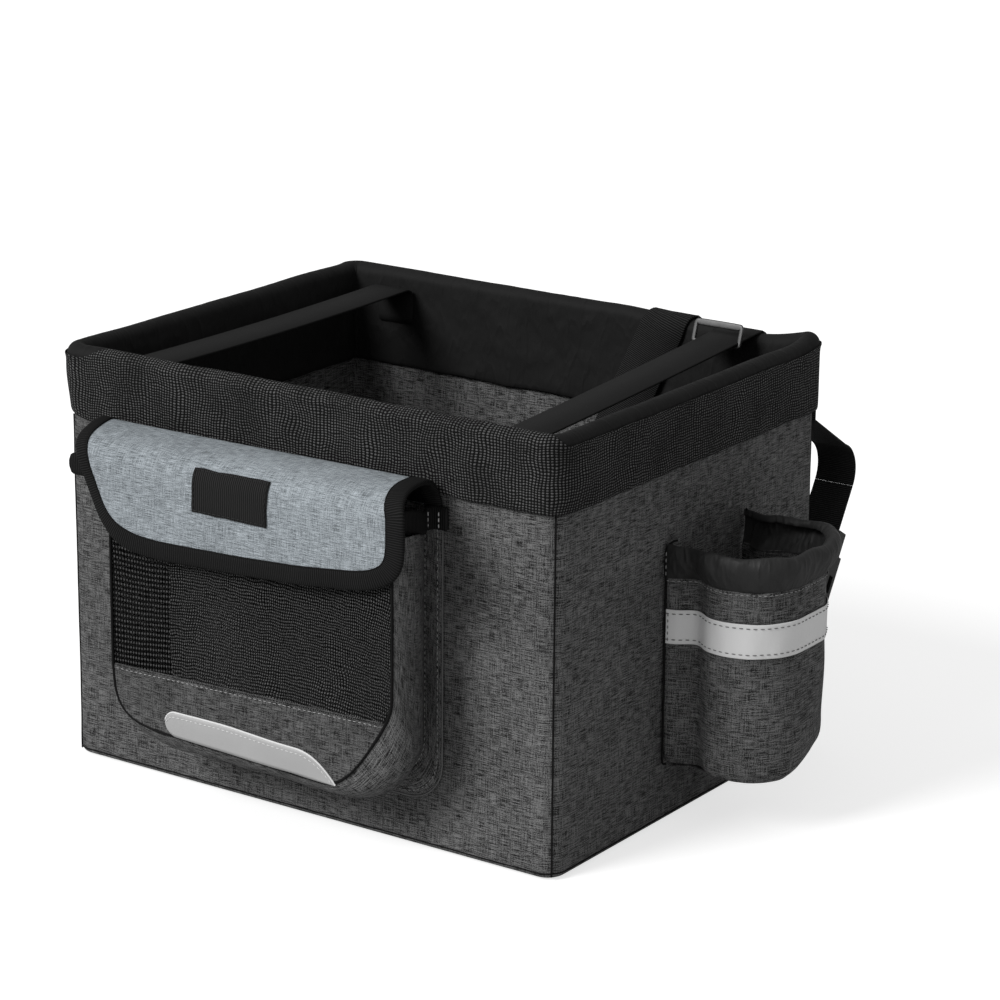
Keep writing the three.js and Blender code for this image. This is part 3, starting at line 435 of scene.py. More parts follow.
def creaseGroup():  # broad soft undulation with a few sharper creases
    inputs = [("Place", vector, None), ("Size", number, 40.0), ("Sharpness", number, 0.4)]
    tree, given, wanted = newGroup("softCreases", inputs, [("Height", number), ("Mask", number)])
    spot = shrunk(tree, given)
    broad = noiseValue(tree, spot, 1.0, 1.5, 0.45)
    fold = noiseValue(tree, scaledPlace(tree, spot, (2.1, 0.9, 1.6)))
    ridge = maths(tree, "ABSOLUTE", maths(tree, "SUBTRACT", fold, 0.5))
    crease = ranged(tree, ridge, 0.0, 0.12, 1.0, 0.0)
    sharp = maths(tree, "MULTIPLY", crease, maths(tree, "MULTIPLY", given["Sharpness"], 0.3))
    tree.links.new(maths(tree, "ADD", broad, sharp), wanted["Height"])
    # the broad height from 0 in the hollows to 1 on the crests, which cloths use for painted shade in the
    # hollows and a painted highlight on the crests
    tree.links.new(ranged(tree, broad, 0.3, 0.7), wanted["Mask"])
    return tree


def wearGroup():  # slow change of tone, with a little dust
    inputs = [("Place", vector, None), ("Size", number, 55.0), ("Amount", number, 0.15)]
    tree, given, wanted = newGroup("rubbedTone", inputs, [("Tone", number), ("Dust", number)])
    swing = centred(tree, noiseValue(tree, shrunk(tree, given), 1.0, 3.0, 0.55), given["Amount"])
    tree.links.new(maths(tree, "MULTIPLY_ADD", swing, 2.0, 1.0), wanted["Tone"])
    fine = noiseValue(tree, given["Place"], 1.6, 3.0, 0.7)
    tree.links.new(ranged(tree, fine, 0.55, 0.85), wanted["Dust"])
    return tree


heatherYarn = heatherGroup()
dottedWeave = dottedGroup()
tapeRibs = ribGroup()
softCreases = creaseGroup()
rubbedTone = wearGroup()


def grey(level, tint=(1.0, 1.0, 1.0)):  # a colour from its level on screen, 0 to 255
    def straight(value):
        return value / 12.92 if value <= 0.04045 else ((value + 0.055) / 1.055) ** 2.4

    return (*(straight(level * part / 255) for part in tint), 1.0)


def newMaterial(name, fromUv=True):
    material = bpy.data.materials.new(name)
    material.use_nodes = True
    tree = material.node_tree
    tree.nodes.clear()
    shader = tree.nodes.new("ShaderNodeBsdfPrincipled")
    output = tree.nodes.new("ShaderNodeOutputMaterial")
    tree.links.new(shader.outputs[0], output.inputs["Surface"])
    if fromUv:
        place = put(tree, "ShaderNodeUVMap", uv_map="clothMap").outputs[0]
    else:
        where = tree.nodes.new("ShaderNodeTexCoord").outputs["Object"]
        place = scaledPlace(tree, where, (1000.0, 1000.0, 1000.0))
    return material, tree, shader, place


def bumped(tree, shader, layers):
    # layers are (height, distance in millimetres, strength), the broadest first
    normal = None
    for height, distance, strength in layers:
        inputs = {"Height": height, "Distance": distance * mm, "Strength": strength}
        if normal is not None:
            inputs["Normal"] = normal
        normal = put(tree, "ShaderNodeBump", inputs).outputs[0]
    tree.links.new(normal, shader.inputs["Normal"])


def surface(name, v):
    # one pattern from dark to light, with creases that can paint shade into their hollows, a slow change of
    # tone and a little dust
    material, tree, shader, place = newMaterial(name, v.get("fromUv", True))
    if "group" in v:
        mask, height = useGroup(tree, v["group"], {"Place": place, **v["weave"]})
    else:
        spot = scaledPlace(tree, place, v["stretch"]) if "stretch" in v else place
        mask = height = noiseValue(tree, spot, *v["noise"])
    shown, layers = mask, []
    if "crease" in v:
        size, sharpness, depth, strength = v["crease"]
        creases = useGroup(tree, softCreases, {"Place": place, "Size": size, "Sharpness": sharpness})
        layers.append((creases["Height"], depth, strength))
        # painted shade: the colour is darkened in the crease hollows and lightened on the crests, following
        # the same height as the bump
        if "creaseShade" in v:
            shade = ranged(tree, creases["Mask"], 0.0, 1.0, *v["creaseShade"])
            shown = maths(tree, "MULTIPLY", mask, shade, clamp=True)
    colour = colourMix(tree, shown, v["dark"], v["light"])
    if "rub" in v:
        rubbed = useGroup(tree, rubbedTone, {"Place": place, "Size": v["rub"][0], "Amount": v["rub"][1]})
        level = put(tree, "ShaderNodeCombineColor", dict.fromkeys(range(3), rubbed["Tone"])).outputs[0]
        colour = colourMix(tree, 1.0, colour, level, "MULTIPLY")
        if "dust" in v:
            dust, amount = v["dust"]
            spread = maths(tree, "MULTIPLY", rubbed["Dust"], amount)
            colour = colourMix(tree, spread, colour, v.get(dust, dust))
    tree.links.new(colour, shader.inputs["Base Color"])
    if "open" in v:
        tree.links.new(ranged(tree, height, v["open"], v["open"] + 0.15), shader.inputs["Alpha"])
    if isinstance(v["rough"], tuple):
        tree.links.new(ranged(tree, mask, *v["rough"]), shader.inputs["Roughness"])
    else:
        shader.inputs["Roughness"].default_value = v["rough"]
    shader.inputs["Specular IOR Level"].default_value = v.get("shine", 0.5)
    shader.inputs["Metallic"].default_value = v.get("metal", 0.0)
    bumped(tree, shader, layers + [(height, *v["bump"])])
    return material


# Cloths: weave and noise are the pattern, rub is (size, amount), dust is (colour, amount), bump is (depth,
# strength), crease is (size, sharpness, depth, strength), creaseShade is the painted shade in the crease
# hollows and the painted highlight on the crests (low, high), and rough is one level or follows the pattern
def heatherCloth(name, dark, light, weave=(0.56, 7.5, 0.7), fade=0.3, crease=(46.0, 0.3, 4.6, 0.8)):
    yarn, streak, contrast = weave
    return surface(name, {
        "group": heatherYarn, "weave": {"Yarn": yarn, "Streak": streak, "Contrast": contrast, "Skew": 1.0},
        "dark": dark, "light": light, "rub": (60.0, fade), "dust": ("light", 0.12), "crease": crease,
        "rough": (0.0, 1.0, 0.95, 0.82), "shine": 0.12, "bump": (0.25, 0.6),
    })


melange = heatherCloth("melangeCloth", grey(28), grey(124))
liningCloth = heatherCloth("liningCloth", grey(28), grey(124), (0.56, 7.5, 0.85))
lowerMelange = heatherCloth("lowerMelange", grey(24), grey(108))
padCloth = heatherCloth("padCloth", grey(36), grey(128), (0.7, 7.5, 0.7), crease=(46.0, 0.3, 4.5, 0.8))
flapCloth = heatherCloth("blueGreyCloth", grey(100, (0.93, 0.985, 1.02)), grey(200, (0.95, 0.99, 1.02)),
                         (0.5, 7.0, 0.5), 0.14, (50.0, 0.3, 3.2, 0.8))
print("heather cloths ready")

# the collar's weave carries painted shade in the hollows of its creases, down to 0.7, and a painted highlight
# on the crests, up to 1.25
collarWeave = surface("collarCloth", {
    "group": dottedWeave, "weave": {"Pitch X": 2.0, "Pitch Y": 1.5, "Drift": 0.3, "Thick": 0.5},
    "dark": grey(15), "light": grey(98), "rub": (40.0, 0.12), "crease": (26.0, 0.2, 2.5, 0.8),
    "creaseShade": (0.7, 1.25), "rough": (0.0, 1.0, 0.92, 0.7), "shine": 0.12, "bump": (0.5, 0.8),
})


def nylonCloth(name, dark, light, crease, rough=0.72, shine=0.15):
    return surface(name, {
        "noise": (2.4, 2.0, 0.7), "dark": grey(dark), "light": grey(light), "rub": (45.0, 0.12),
        "crease": crease, "dust": (grey(50), 0.18), "rough": (0.3, 0.7, rough - 0.06, rough + 0.06),
        "shine": shine, "bump": (0.12, 0.5),
    })


collarNylon = nylonCloth("collarNylon", 20, 34, (24.0, 0.5, 2.6, 0.9))
strapNylon = nylonCloth("strapNylon", 20, 34, (24.0, 0.1, 0.4, 0.9))
ruffleNylon = nylonCloth("ruffleNylon", 34, 52, (22.0, 0.7, 3.0, 0.9), 0.55, 0.28)
pipingNylon = nylonCloth("pipingNylon", 10, 18, (24.0, 0.5, 0.2, 0.9))


def ribbedTape(name, pitch, depth, dark, light):
    return surface(name, {
        "group": tapeRibs, "weave": {"Pitch": pitch, "Wander": 0.12}, "dark": grey(dark),
        "light": grey(light), "rub": (30.0, 0.14), "dust": ("light", 0.25),
        "rough": (0.0, 1.0, 0.88, 0.7), "shine": 0.15, "bump": (depth, 0.8),
    })


webbing = ribbedTape("ribbedWebbing", 1.15, 0.4, 13, 50)
bindingTape = ribbedTape("bindingTape", 1.3, 0.35, 14, 36)
patchTape = ribbedTape("patchTape", 1.3, 0.3, 20, 46)


def netCloth(name, pitchX, pitchY, drift, thick, opening, light):
    return surface(name, {
        "group": dottedWeave, "weave": {"Pitch X": pitchX, "Pitch Y": pitchY, "Drift": drift, "Thick": thick},
        "dark": grey(8), "light": grey(light), "rub": (30.0, 0.2), "open": opening,
        "rough": (0.0, 1.0, 0.85, 0.65), "shine": 0.15, "bump": (0.5, 0.9),
    })


netMaterial = netCloth("netCloth", 1.9, 2.85, 0.1, 0.12, 0.36, 90)
netBehind = netCloth("netBehindCloth", 1.35, 1.75, 0.3, 0.3, 0.3, 96)


def reflectiveCloth(name, dark, light):
    return surface(name, {
        "noise": (3.5, 2.0, 0.8), "dark": grey(dark), "light": grey(light), "rub": (28.0, 0.06),
        "crease": (22.0, 0.5, 0.5, 0.6), "dust": ("dark", 0.25), "rough": (0.3, 0.7, 0.38, 0.52),
        "shine": 0.45, "bump": (0.08, 0.5),
    })


reflective = reflectiveCloth("reflectiveCloth", 166, 188)
bandReflective = reflectiveCloth("bandReflective", 221, 239)


def threadMaterial(name, dark, light):
    return surface(name, {"noise": (2.0, 1.0), "dark": grey(dark), "light": grey(light), "rough": 0.7,
                          "bump": (0.1, 0.6)})


paleThread = threadMaterial("paleThread", 205, 235)
softThread = threadMaterial("softThread", 150, 190)
lightThread = threadMaterial("lightThread", 118, 160)
greyThread = threadMaterial("greyThread", 84, 118)
darkThread = threadMaterial("darkThread", 14, 28)

# Fastener tape and hard surfaces
fastenerTape = surface("hookAndLoop", {
    "noise": (1.4, 4.0, 0.8), "dark": grey(18), "light": grey(52), "rub": (20.0, 0.2),
    "dust": (grey(80), 0.3), "rough": 0.95, "bump": (0.9, 1.0),
})
steel = surface("stampedSteel", {
    "fromUv": False, "stretch": (0.4, 2.0, 6.0), "noise": (1.0, 3.0, 0.6), "dark": grey(58),
    "light": grey(116), "rub": (9.0, 0.3), "metal": 1.0, "rough": (0.3, 0.7, 0.42, 0.62),
    "bump": (0.05, 0.6),
})
plastic = surface("mouldedPlastic", {
    "fromUv": False, "noise": (1.8, 3.0, 0.6), "dark": grey(22), "light": grey(32), "rub": (12.0, 0.2),
    "dust": (grey(70), 0.2), "rough": (0.3, 0.7, 0.42, 0.55), "bump": (0.15, 0.5),
})
boardFibre = surface("fibreBoard", {
    "fromUv": False, "stretch": (0.6, 0.6, 3.0), "noise": (1.0, 4.0, 0.7), "dark": grey(118),
    "light": grey(150), "rub": (70.0, 0.15), "dust": (grey(165), 0.3), "rough": 0.85, "bump": (0.3, 0.6),
})
print("materials ready")


# Lines round the basket
def rimStations(spacing, cornerSteps=10):
    # (x, y, outward x, outward y) of the outer wall, leftwards from the middle of the back, and the lengths
    halfX, halfY, corner = basketValues["halfX"], basketValues["halfY"], basketValues["corner"]
    found = []

    def straight(a, b, out):
        count = max(1, round((b - a).length / spacing))
        for step in range(count):
            found.append((*a.lerp(b, step / count), *out))

    def outAt(turns):
        return Vector((math.cos(math.pi * turns), math.sin(math.pi * turns)))

    start = Vector((0.0, halfY))
    for sideX, sideY, turns in ((-1, 1, 0.5), (-1, -1, 1.0), (1, -1, 1.5), (1, 1, 2.0)):
        centre = Vector((sideX * (halfX - corner), sideY * (halfY - corner)))
        straight(start, centre + outAt(turns) * corner, outAt(turns))
        for step in range(cornerSteps):
            out = outAt(turns + step / cornerSteps / 2)
            found.append((*(centre + out * corner), *out))
        start = centre + outAt(turns + 0.5) * corner
    straight(start, Vector((0.0, halfY)), Vector((0.0, 1.0)))
    return found, lengthsAlong([Vector(station[:2]) for station in found])


def rimPoint(station, out, z):
    x, y, outX, outY = station
    return Vector((x + outX * out, y + outY * out, z))


# Outer cloth of the box, with a seam down each corner and one round the lower edge
shellValues = {"top": 229.0, "thickness": 0.8, "swell": 1.0, "foot": 8.0, "seamZ": 3.2, "seamTop": 199.0,
               "cornerSeam": 0.5, "lowerSeam": 0.35}
boards = ["board_front", "board_back", "board_left", "board_right"]


def drawnIn(s, z):  # the walls sink between the seams
    return eased(4, 30, z) * shellValues["swell"] * (0.5 + 0.5 * rough(s / 42, z / 55))


def buildShell():
    v = shellValues
    stations, lengths = rimStations(9.0)
    levels = [(0.0, -5.0), (0.0, -3.2), (0.6, -1.3), (2.0, -0.3), (4.0, -0.15), (v["foot"], -0.1)]
    levels += [(mixed(v["foot"], v["top"], share), -0.1) for share in shares(24)[1:]]
    pairs = list(zip(stations, lengths))
    rows = [[rimPoint(station, out - drawnIn(s, z), z) for station, s in pairs] for z, out in levels]
    shell = withThickness(clothFrom("shellCloth", rows, melange, loop=True), v["thickness"])
    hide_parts("shell_front_panel", "shell_back_panel", "shell_left_panel", "shell_right_panel")
    settle(shell, "melange_cloth")
    settle(roundedSheet("baseCloth", 162.0, 129.0, 9.0, 0.9, melange), "melange_cloth", "shell_base_panel")

    corner, turn = basketValues["corner"], math.sqrt(0.5)
    halfX, halfY = basketValues["halfX"] - corner, basketValues["halfY"] - corner
    corners = (("FrontLeft", -1, -1), ("FrontRight", 1, -1), ("BackLeft", -1, 1), ("BackRight", 1, 1))
    for label, sideX, sideY in corners:
        x, y = sideX * (halfX + corner * turn), sideY * (halfY + corner * turn)
        station = (x, y, sideX * turn, sideY * turn)
        s = lengths[min(range(len(stations)), key=lambda i: math.dist(stations[i][:2], (x, y)))]
        path = []
        for share in shares(40):
            z = mixed(1.5, v["seamTop"], share)
            path.append(rimPoint(station, 0.1 - drawnIn(s, z) + 0.1 * rough(z / 14, sideX, sideY), z))
        settle(tube("cornerSeam" + label, path, v["cornerSeam"], pipingNylon), "black_nylon")
    ring = [rimPoint(station, 0.05, v["seamZ"] + 0.25 * rough(s / 30)) for station, s in pairs]
    settle(tube("lowerSeam", ring, v["lowerSeam"], pipingNylon, 6, closed=True), "black_nylon")


def roundedSheet(name, halfX, halfY, corner, z, material):
    rows = []
    for y in [mixed(-halfY, halfY, share) for share in shares(20)]:
        over = max(0.0, abs(y) - (halfY - corner))
        half = halfX - corner + math.sqrt(max(corner * corner - over * over, 0.0))
        rows.append([Vector((mixed(-half, half, share), y, z)) for share in shares(24)])
    return withThickness(clothFrom(name, rows, material, uvRows=[[p.xy for p in row] for row in rows]), 0.8)


buildShell()
print("outer cloth ready")


# Lining inside the boards, and the cloth on the floor
def buildLining():
    stations, lengths = rimStations(10.0, 6)
    rows = []
    for z in [6.0] + [mixed(8.0, shellValues["top"], share) for share in shares(22)]:
        folds = [0.6 * (0.5 + 0.5 * rough(s / 26, z / 60, 4.0)) for s in lengths]
        rows.append([rimPoint(station, -7.3 - fold, z) for station, fold in zip(stations, folds)])
    lining = withThickness(clothFrom("liningWalls", rows, liningCloth, loop=True, flip=True), 0.8)
    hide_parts("lining_front", "lining_back", "lining_left", "lining_right")
    settle(lining, "lining_cloth")
    settle(roundedSheet("liningFloor", 157.0, 124.0, 4.0, 7.2, liningCloth), "lining_cloth", "lining_base")


buildLining()


# Padded collar: a coarse outer skirt, and a smooth roll that goes down inside
collarValues = {"rollX": -3.65, "rollZ": 233.65, "roll": 6.35, "cavity": 3.95, "facingBottom": 180.0}


def strapShade(x, y):  # 0 where a strap lies on the collar, 1 away from every strap
    c = crossings
    if abs(y) < basketValues["rimEnds"]:
        return 1.0
    bands = [(c["left"], 16), (c["rightFront"], 16)]
    if y > 0:
        bands = [(c["left"], 16), (c["rightRear"], 17), (c["tether"], 20), (-c["bar"], 15), (c["bar"], 15)]
    return min(eased(half, half + 12, abs(x - middle)) for middle, half in bands)


def rimSag(x, y):  # the right strap and the tether press the rear rim down, and the corner beside stands up
    if y < 60:
        return 0.0
    away = math.hypot(x - basketValues["halfX"], y - basketValues["halfY"])
    corner = 3.2 * math.exp(-((away / 17) ** 2))
    if y <= basketValues["rimEnds"]:
        return corner
    byTether = 1.6 * math.exp(-(((x - crossings["tether"]) / 20) ** 2))
    return corner - 3.8 * math.exp(-(((x - 121) / 27) ** 2)) - byTether


def rimLift(station, s):
    return 0.7 * rough(s / 48, 8.0) * strapShade(station[0], station[1]) + rimSag(station[0], station[1])


def buildCollar():
    v, ends = collarValues, basketValues["rimEnds"]

    def onRoll(radius, angle, lift):
        return (v["rollX"] + radius * math.cos(angle), v["rollZ"] + radius * math.sin(angle) + lift)

    outline = [(0.35, 215.0), (0.35, 203.0), (0.5, 199.4), (1.4, 198.1), (2.4, 198.7), (2.7, 201.0),
               (2.75, 206.0), (2.75, 214.0), (2.75, 222.0), (2.75, 228.0), (2.85, 231.5)]
    sections = []
    for station, s in zip(*rimStations(5.0)):
        lift = rimLift(station, s)
        shade = strapShade(station[0], station[1]) if station[1] > ends else 1.0
        front = eased(0.35, 0.95, -station[3])
        front *= eased(-148, -134, station[0]) if station[1] < -ends else 1.0
        # how far it is from the front left corner, where the skirt flares
        away = math.hypot(station[0] + 162, station[1] + 129)
        flare = math.exp(-((away / 26) ** 2))
        drop = 0.7 * rough(s / 38, 2.0) + 0.35 * rough(s / 13, 5.0) + 3.2 * math.exp(-((away / 8) ** 2))
        climb = math.radians(mixed(6 + 3 * rough(s / 9, 4.0), 80 + 5 * rough(s / 14, 4.0), front))
        hug = [onRoll(v["roll"] + 0.9, climb * share, lift) for share in shares(7)[1:]]
        back = [onRoll(v["roll"] + 0.2, climb * (1 - share), lift) for share in shares(7)[:-1]]
        ring = []
        for index, (out, z) in enumerate(outline + hug + back + [(1.2, 230.6), (0.4, 228.0)]):
            low = eased(225, 199, z)
            sway = 0.55 * rough(s / 15, z / 70) + 0.3 * rough(s / 6, z / 45, 3.0)
            sway *= 1.0 if 3 < index < 10 else 0.25 if index < 19 else 0.1
            if index < len(outline):
                z += lift * eased(212, 232, z)
            lean = flare * mixed(-1.6, 0.4, eased(200, 226, z)) * (1 - eased(226, 236, z))
            ring.append(rimPoint(station, out + sway * shade + lean, z + drop * low))
        sections.append(ring)
    settle(aroundBox("collarOuter", sections, collarWeave), "collar_cloth", "collar_outer")

    sections = []
    for station, s in zip(*rimStations(4.0)):
        shade, lift = strapShade(station[0], station[1]), rimLift(station, s)
        outerSide, innerSide = [(2.5, 231.9 + lift)], [(0.6, 232.3 + lift * 0.7)]
        for share in shares(12):
            pucker = 0.4 * (0.5 + 0.5 * rough(s / 5.5, share * 2.2)) + 0.25 * abs(rough(s / 2.6, share))
            outerSide.append(onRoll(v["roll"] - shade * pucker, math.pi * share, lift))
            innerSide.append(onRoll(v["cavity"], math.pi * share, lift * 0.5))
        for share in shares(8)[1:]:
            z = mixed(v["rollZ"], v["facingBottom"], share) + 0.8 * rough(s / 30, 1.0) * share
            wave = 3.4 * (0.5 + 0.5 * rough(s / 17, share * 1.2, 6.0)) ** 2
            wave += 0.5 * abs(rough(s / 7, share * 2, 9.0))
            fold = shade * eased(0.05, 0.9, share) * wave
            outerSide.append((-10.0 - fold, z))
            innerSide.append((-8.3 - fold * 0.85, z + (0.6 if share == 1 else 0.0)))
        sections.append([rimPoint(station, out, z) for out, z in outerSide + innerSide[::-1]])
    settle(aroundBox("collarFacing", sections, collarNylon), "black_nylon", "collar_facing")


def aroundBox(name, sections, material):  # across runs round the basket, and up runs over the section
    piece = sweptFrom(name, sections, material, closedPath=True)
    for corner in piece.data.uv_layers["clothMap"].data:
        corner.uv = (corner.uv[1], corner.uv[0])
    return softened(piece)


buildCollar()
print("collar ready")

# The floor pad: crowned, its sides drawn in between the corners, then swelled by a short cloth run
padValues = {"halfX": 153.0, "halfY": 120.0, "low": 7.9, "edge": 12.0, "crown": 19.0, "pull": 6.0,
             "voxel": 6.0, "pressure": 3.0, "frames": 20, "cap": 3.0}


def buildPad():
    v = padValues

    def ringAt(scale, z, count=96):
        ring = []
        for i in range(count):
            angle = 2 * math.pi * i / count
            shareX = math.copysign(abs(math.cos(angle)) ** (2 / 7), math.cos(angle))
            shareY = math.copysign(abs(math.sin(angle)) ** (2 / 7), math.sin(angle))
            pullX = v["pull"] * (1 - shareY * shareY)
            pullY = v["pull"] * (1 - shareX * shareX)
            x = scale * shareX * (v["halfX"] - 3 - pullX)
            y = scale * shareY * (v["halfY"] - 3 - pullY)
            ring.append(Vector((x, y, z)))
        return ring

    sides = [(0.2, 0), (0.55, 0), (0.93, 0.02), (0.985, 0.3), (1.0, 0.55), (0.985, 0.85)]
    sections = [ringAt(scale, v["low"] + share * v["edge"]) for scale, share in sides]
    for scale in (0.95, 0.87, 0.72, 0.5, 0.25, 0.06):
        sections.append(ringAt(scale, v["low"] + mixed(v["edge"], v["crown"], 1 - scale**4)))
    pad = sweptFrom("floorPad", sections, padCloth)
    remesh = pad.modifiers.new("even", "REMESH")
    remesh.mode = "VOXEL"
    remesh.voxel_size = v["voxel"] * mm
    applyModifiers(pad)
    swell(pad, v)
    for vertex in pad.data.vertices:
        x, y, z = vertex.co
        vertex.co.z = min(max(z, v["low"] * mm), (v["low"] + v["crown"] + 1.0) * mm)
    layer = pad.data.uv_layers.get("clothMap") or pad.data.uv_layers.new(name="clothMap")
    for loop in pad.data.loops:
        co = pad.data.vertices[loop.vertex_index].co
        layer.data[loop.index].uv = (co.x / mm, (co.y + co.z * 0.9) / mm)
    pad.data.materials.clear()
    pad.data.materials.append(padCloth)
    pad.data.polygons.foreach_set("use_smooth", [True] * len(pad.data.polygons))
    softened(pad, 1)
    settle(pad, "pad_cloth", "floor_pad")
    cord = [p * 1.003 for p in ringAt(1.0, 0)]
    for point in cord:
        point.z = v["low"] + 0.55 * v["edge"]
    settle(tube("padPiping", cord, 1.3, pipingNylon, 8, closed=True), "black_nylon")


def applyModifiers(piece):
    bpy.context.view_layer.update()
    shown = piece.evaluated_get(bpy.context.evaluated_depsgraph_get())
    mesh = bpy.data.meshes.new_from_object(shown)
    piece.modifiers.clear()
    piece.data = mesh


def swell(piece, v):
    start = [vertex.co.copy() for vertex in piece.data.vertices]
    cloth = piece.modifiers.new("swell", "CLOTH")
    cloth.settings.use_pressure = True
    cloth.settings.uniform_pressure_force = v["pressure"]
    cloth.settings.effector_weights.gravity = 0
    cloth.settings.quality = 4
    cloth.collision_settings.use_collision = False
    scene = bpy.context.scene
    for step in range(1, v["frames"] + 1):
        scene.frame_set(step)
    applyModifiers(piece)
    scene.frame_set(1)
    for vertex, before in zip(piece.data.vertices, start):
        move = vertex.co - before
        if move.length > v["cap"] * mm:
            vertex.co = before + move.normalized() * v["cap"] * mm


buildPad()
print("floor pad ready")

# Front pocket: outlines on the wall, at the front edge, and of the fullest bulge between them
pocketValues = {"middle": -2.0, "bottom": 40.0, "top": 180.0, "front": 42.6, "backHalf": 84.5,
                "frontHalf": 94.0, "flange": 12.0, "backCorner": 26.0, "topLeft": 79.2, "topRight": 84.2}
wallY = -basketValues["halfY"]


def pocketOutline(half, low, corner, top):
    # (x, z) in five parts: down the left side, a corner, along the bottom, a corner and up the right side
    left, right = pocketValues["middle"] - half, pocketValues["middle"] + half
    arcs = []
    for turns, x in ((1.0, left + corner), (1.5, right - corner)):
        angles = [math.pi * (turns + share / 2) for share in shares(12)]
        arcs.append([Vector((x + corner * math.cos(a), low + corner + corner * math.sin(a))) for a in angles])
    first, second = arcs
    return [[Vector((left, top)), first[0]], first, [first[-1], second[0]], second,
            [second[-1], Vector((right, top))]]


# the pocket's front edge: a small corner on the left and a long slanting one on the right
pocketFrontParts = [
    [(-95.6, 180.0), (-96.0, 80.0)],
    [(-96.0, 80.0), (-95.0, 66.8), (-92.3, 57.5), (-83.4, 49.5), (-67.0, 46.5)],
    [(-67.0, 46.5), (48.0, 42.6)],
    [(48.0, 42.6), (55.5, 43.4), (62.4, 48.4), (70.3, 56.4), (80.1, 69.9), (88.6, 82.7), (92.6, 93.0)],
    [(92.6, 93.0), (93.2, 110.0), (93.0, 180.0)],
]
pocketCounts = (16, 9, 18, 12, 16)


def inStep(parts):  # every outline gets the same count of places in each part
    found = []
    for part, count in zip(parts, pocketCounts):
        part = [Vector(spot) for spot in part]
        found += resampled(rounded(part, 2) if len(part) > 2 else part, count)[:-1]
    return found + [Vector(parts[-1][-1])]


def onWall(spot, depth):
    return Vector((spot.x, wallY - depth, spot.y))


def onFront(x, z, out):  # on the bulging front of the pocket, some way off its face
    return Vector((x, wallY - frontDepth(x, z) - out, z))


def wallUv(rows):
    return [[(p.x, p.z) for p in row] for row in rows]


forward = Vector((0, -1, 0))


def mouthRise(depth):  # the mouth dips beside the wall and rises towards the front
    return 3.8 * eased(12, 34, depth) - 2.5 * math.exp(-(((depth - 9) / 5) ** 2))


def buildPocketSides():
    v = pocketValues
    back = inStep(pocketOutline(v["backHalf"], v["bottom"], v["backCorner"], v["top"]))
    full = inStep(pocketOutline(v["frontHalf"] + 13, 23.0, 40.0, v["top"]))
    for i, spot in enumerate(full):
        if spot.x < v["middle"]:
            spot.x += 6
    front = inStep(pocketFrontParts)
    rows = []
    for share in shares(12):
        row = []
        for i, (b, m, f) in enumerate(zip(back, full, front)):
            spot = b * (1 - share) ** 2 + m * 2 * share * (1 - share) + f * share**2
            depth = 2 * 33.0 * share * (1 - share) + v["front"] * share**2
            out = (m - Vector((v["middle"], 110.0))).normalized()
            crumple = math.sin(math.pi * share)
            lower = eased(110, 45, spot.y)
            fold = 1.6 * rough(i / 3.2, share * 2.2) + 2.2 * lower * rough(i / 2.3, share * 2.8, 4.0)
            spot = spot + out * (crumple * fold)
            spot.y += (mouthRise(depth) + 1.0) * eased(150, 180, spot.y)
            row.append(onWall(spot, 0.7 + depth))
        rows.append(row)
    sides = withThickness(clothFrom("pocketSides", rows, melange), 1.0, -1.0, 2)
    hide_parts("pocket_gusset")
    settle(sides, "melange_cloth")

    inner = inStep(pocketOutline(v["backHalf"] - 1.5, v["bottom"] + 1.5, v["backCorner"] - 1.5, v["top"] + 3))
    outer = inStep(pocketOutline(v["backHalf"] + v["flange"], v["bottom"] - v["flange"], 22.0, v["top"] + 3))
    pairs = list(zip(inner, outer))
    rows = []
    for share, depth in ((0, 0.5), (0.04, 1.5), (0.2, 1.6), (0.5, 1.4), (0.8, 1.6), (0.96, 1.3), (1.0, 0.3)):
        depths = [depth + 0.15 * rough(i / 1.7, share * 3) for i in range(len(pairs))]
        rows.append([onWall(a.lerp(b, share), out) for (a, b), out in zip(pairs, depths)])
    settle(softened(clothFrom("pocketFlange", rows, melange, flip=True)), "melange_cloth")
    runs = [[(onWall(a.lerp(b, share), 1.75), forward) for a, b in pairs] for share in (0.2, 0.8)]
    stitchRow("pocketFlangeStitches", runs, softThread, "melange_cloth", 1.8, 1.4, 0.17)
    # painted highlight: a thin cord of lighter thread grey along the flange's outer fold, where the edge
    # catches the light
    settle(tube("pocketFlangeEdgeHighlight", [onWall(b, 1.0) for b in outer], 0.45, greyThread, 6), "melange_cloth")
    path = rounded([onWall(spot, v["front"] + 0.5) for spot in front], 1)
    settle(tube("pocketPiping", path, 0.85, pipingNylon), "black_nylon")
    return front


def frontDepth(x, z):
    # how far the front of the pocket stands from the wall: full low down, a little hollow at the net
    v = pocketValues
    shareX = (x - v["middle"]) / v["frontHalf"]
    edge = max(0.0, 1 - shareX**4)
    belly = 1.6 * edge * eased(40, 58, z) * (1 - eased(64, 90, z))
    hollow = 2.2 * edge * eased(84, 110, z) * (1 - eased(150, 185, z))
    return v["front"] + belly - hollow + 0.5 * edge * rough(x / 30, z / 26, 2.0)


def outlineAt(front, z):
    # where the pocket's front edge lies left and right at a height
    def missedBy(pair):
        return max(min(pair[0].y, pair[1].y) - z, z - max(pair[0].y, pair[1].y))

    middle = pocketValues["middle"]
    found = []
    for side in (-1, 1):
        line = [p for p in front if (p.x - middle) * side > 0]
        best = min(zip(line, line[1:]), key=missedBy)
        a, b = sorted(best, key=lambda p: p.y)
        share = 0.5 if b.y - a.y < 1e-6 else min(1.0, max(0.0, (z - a.y) / (b.y - a.y)))
        found.append(mixed(a.x, b.x, share))
    return found


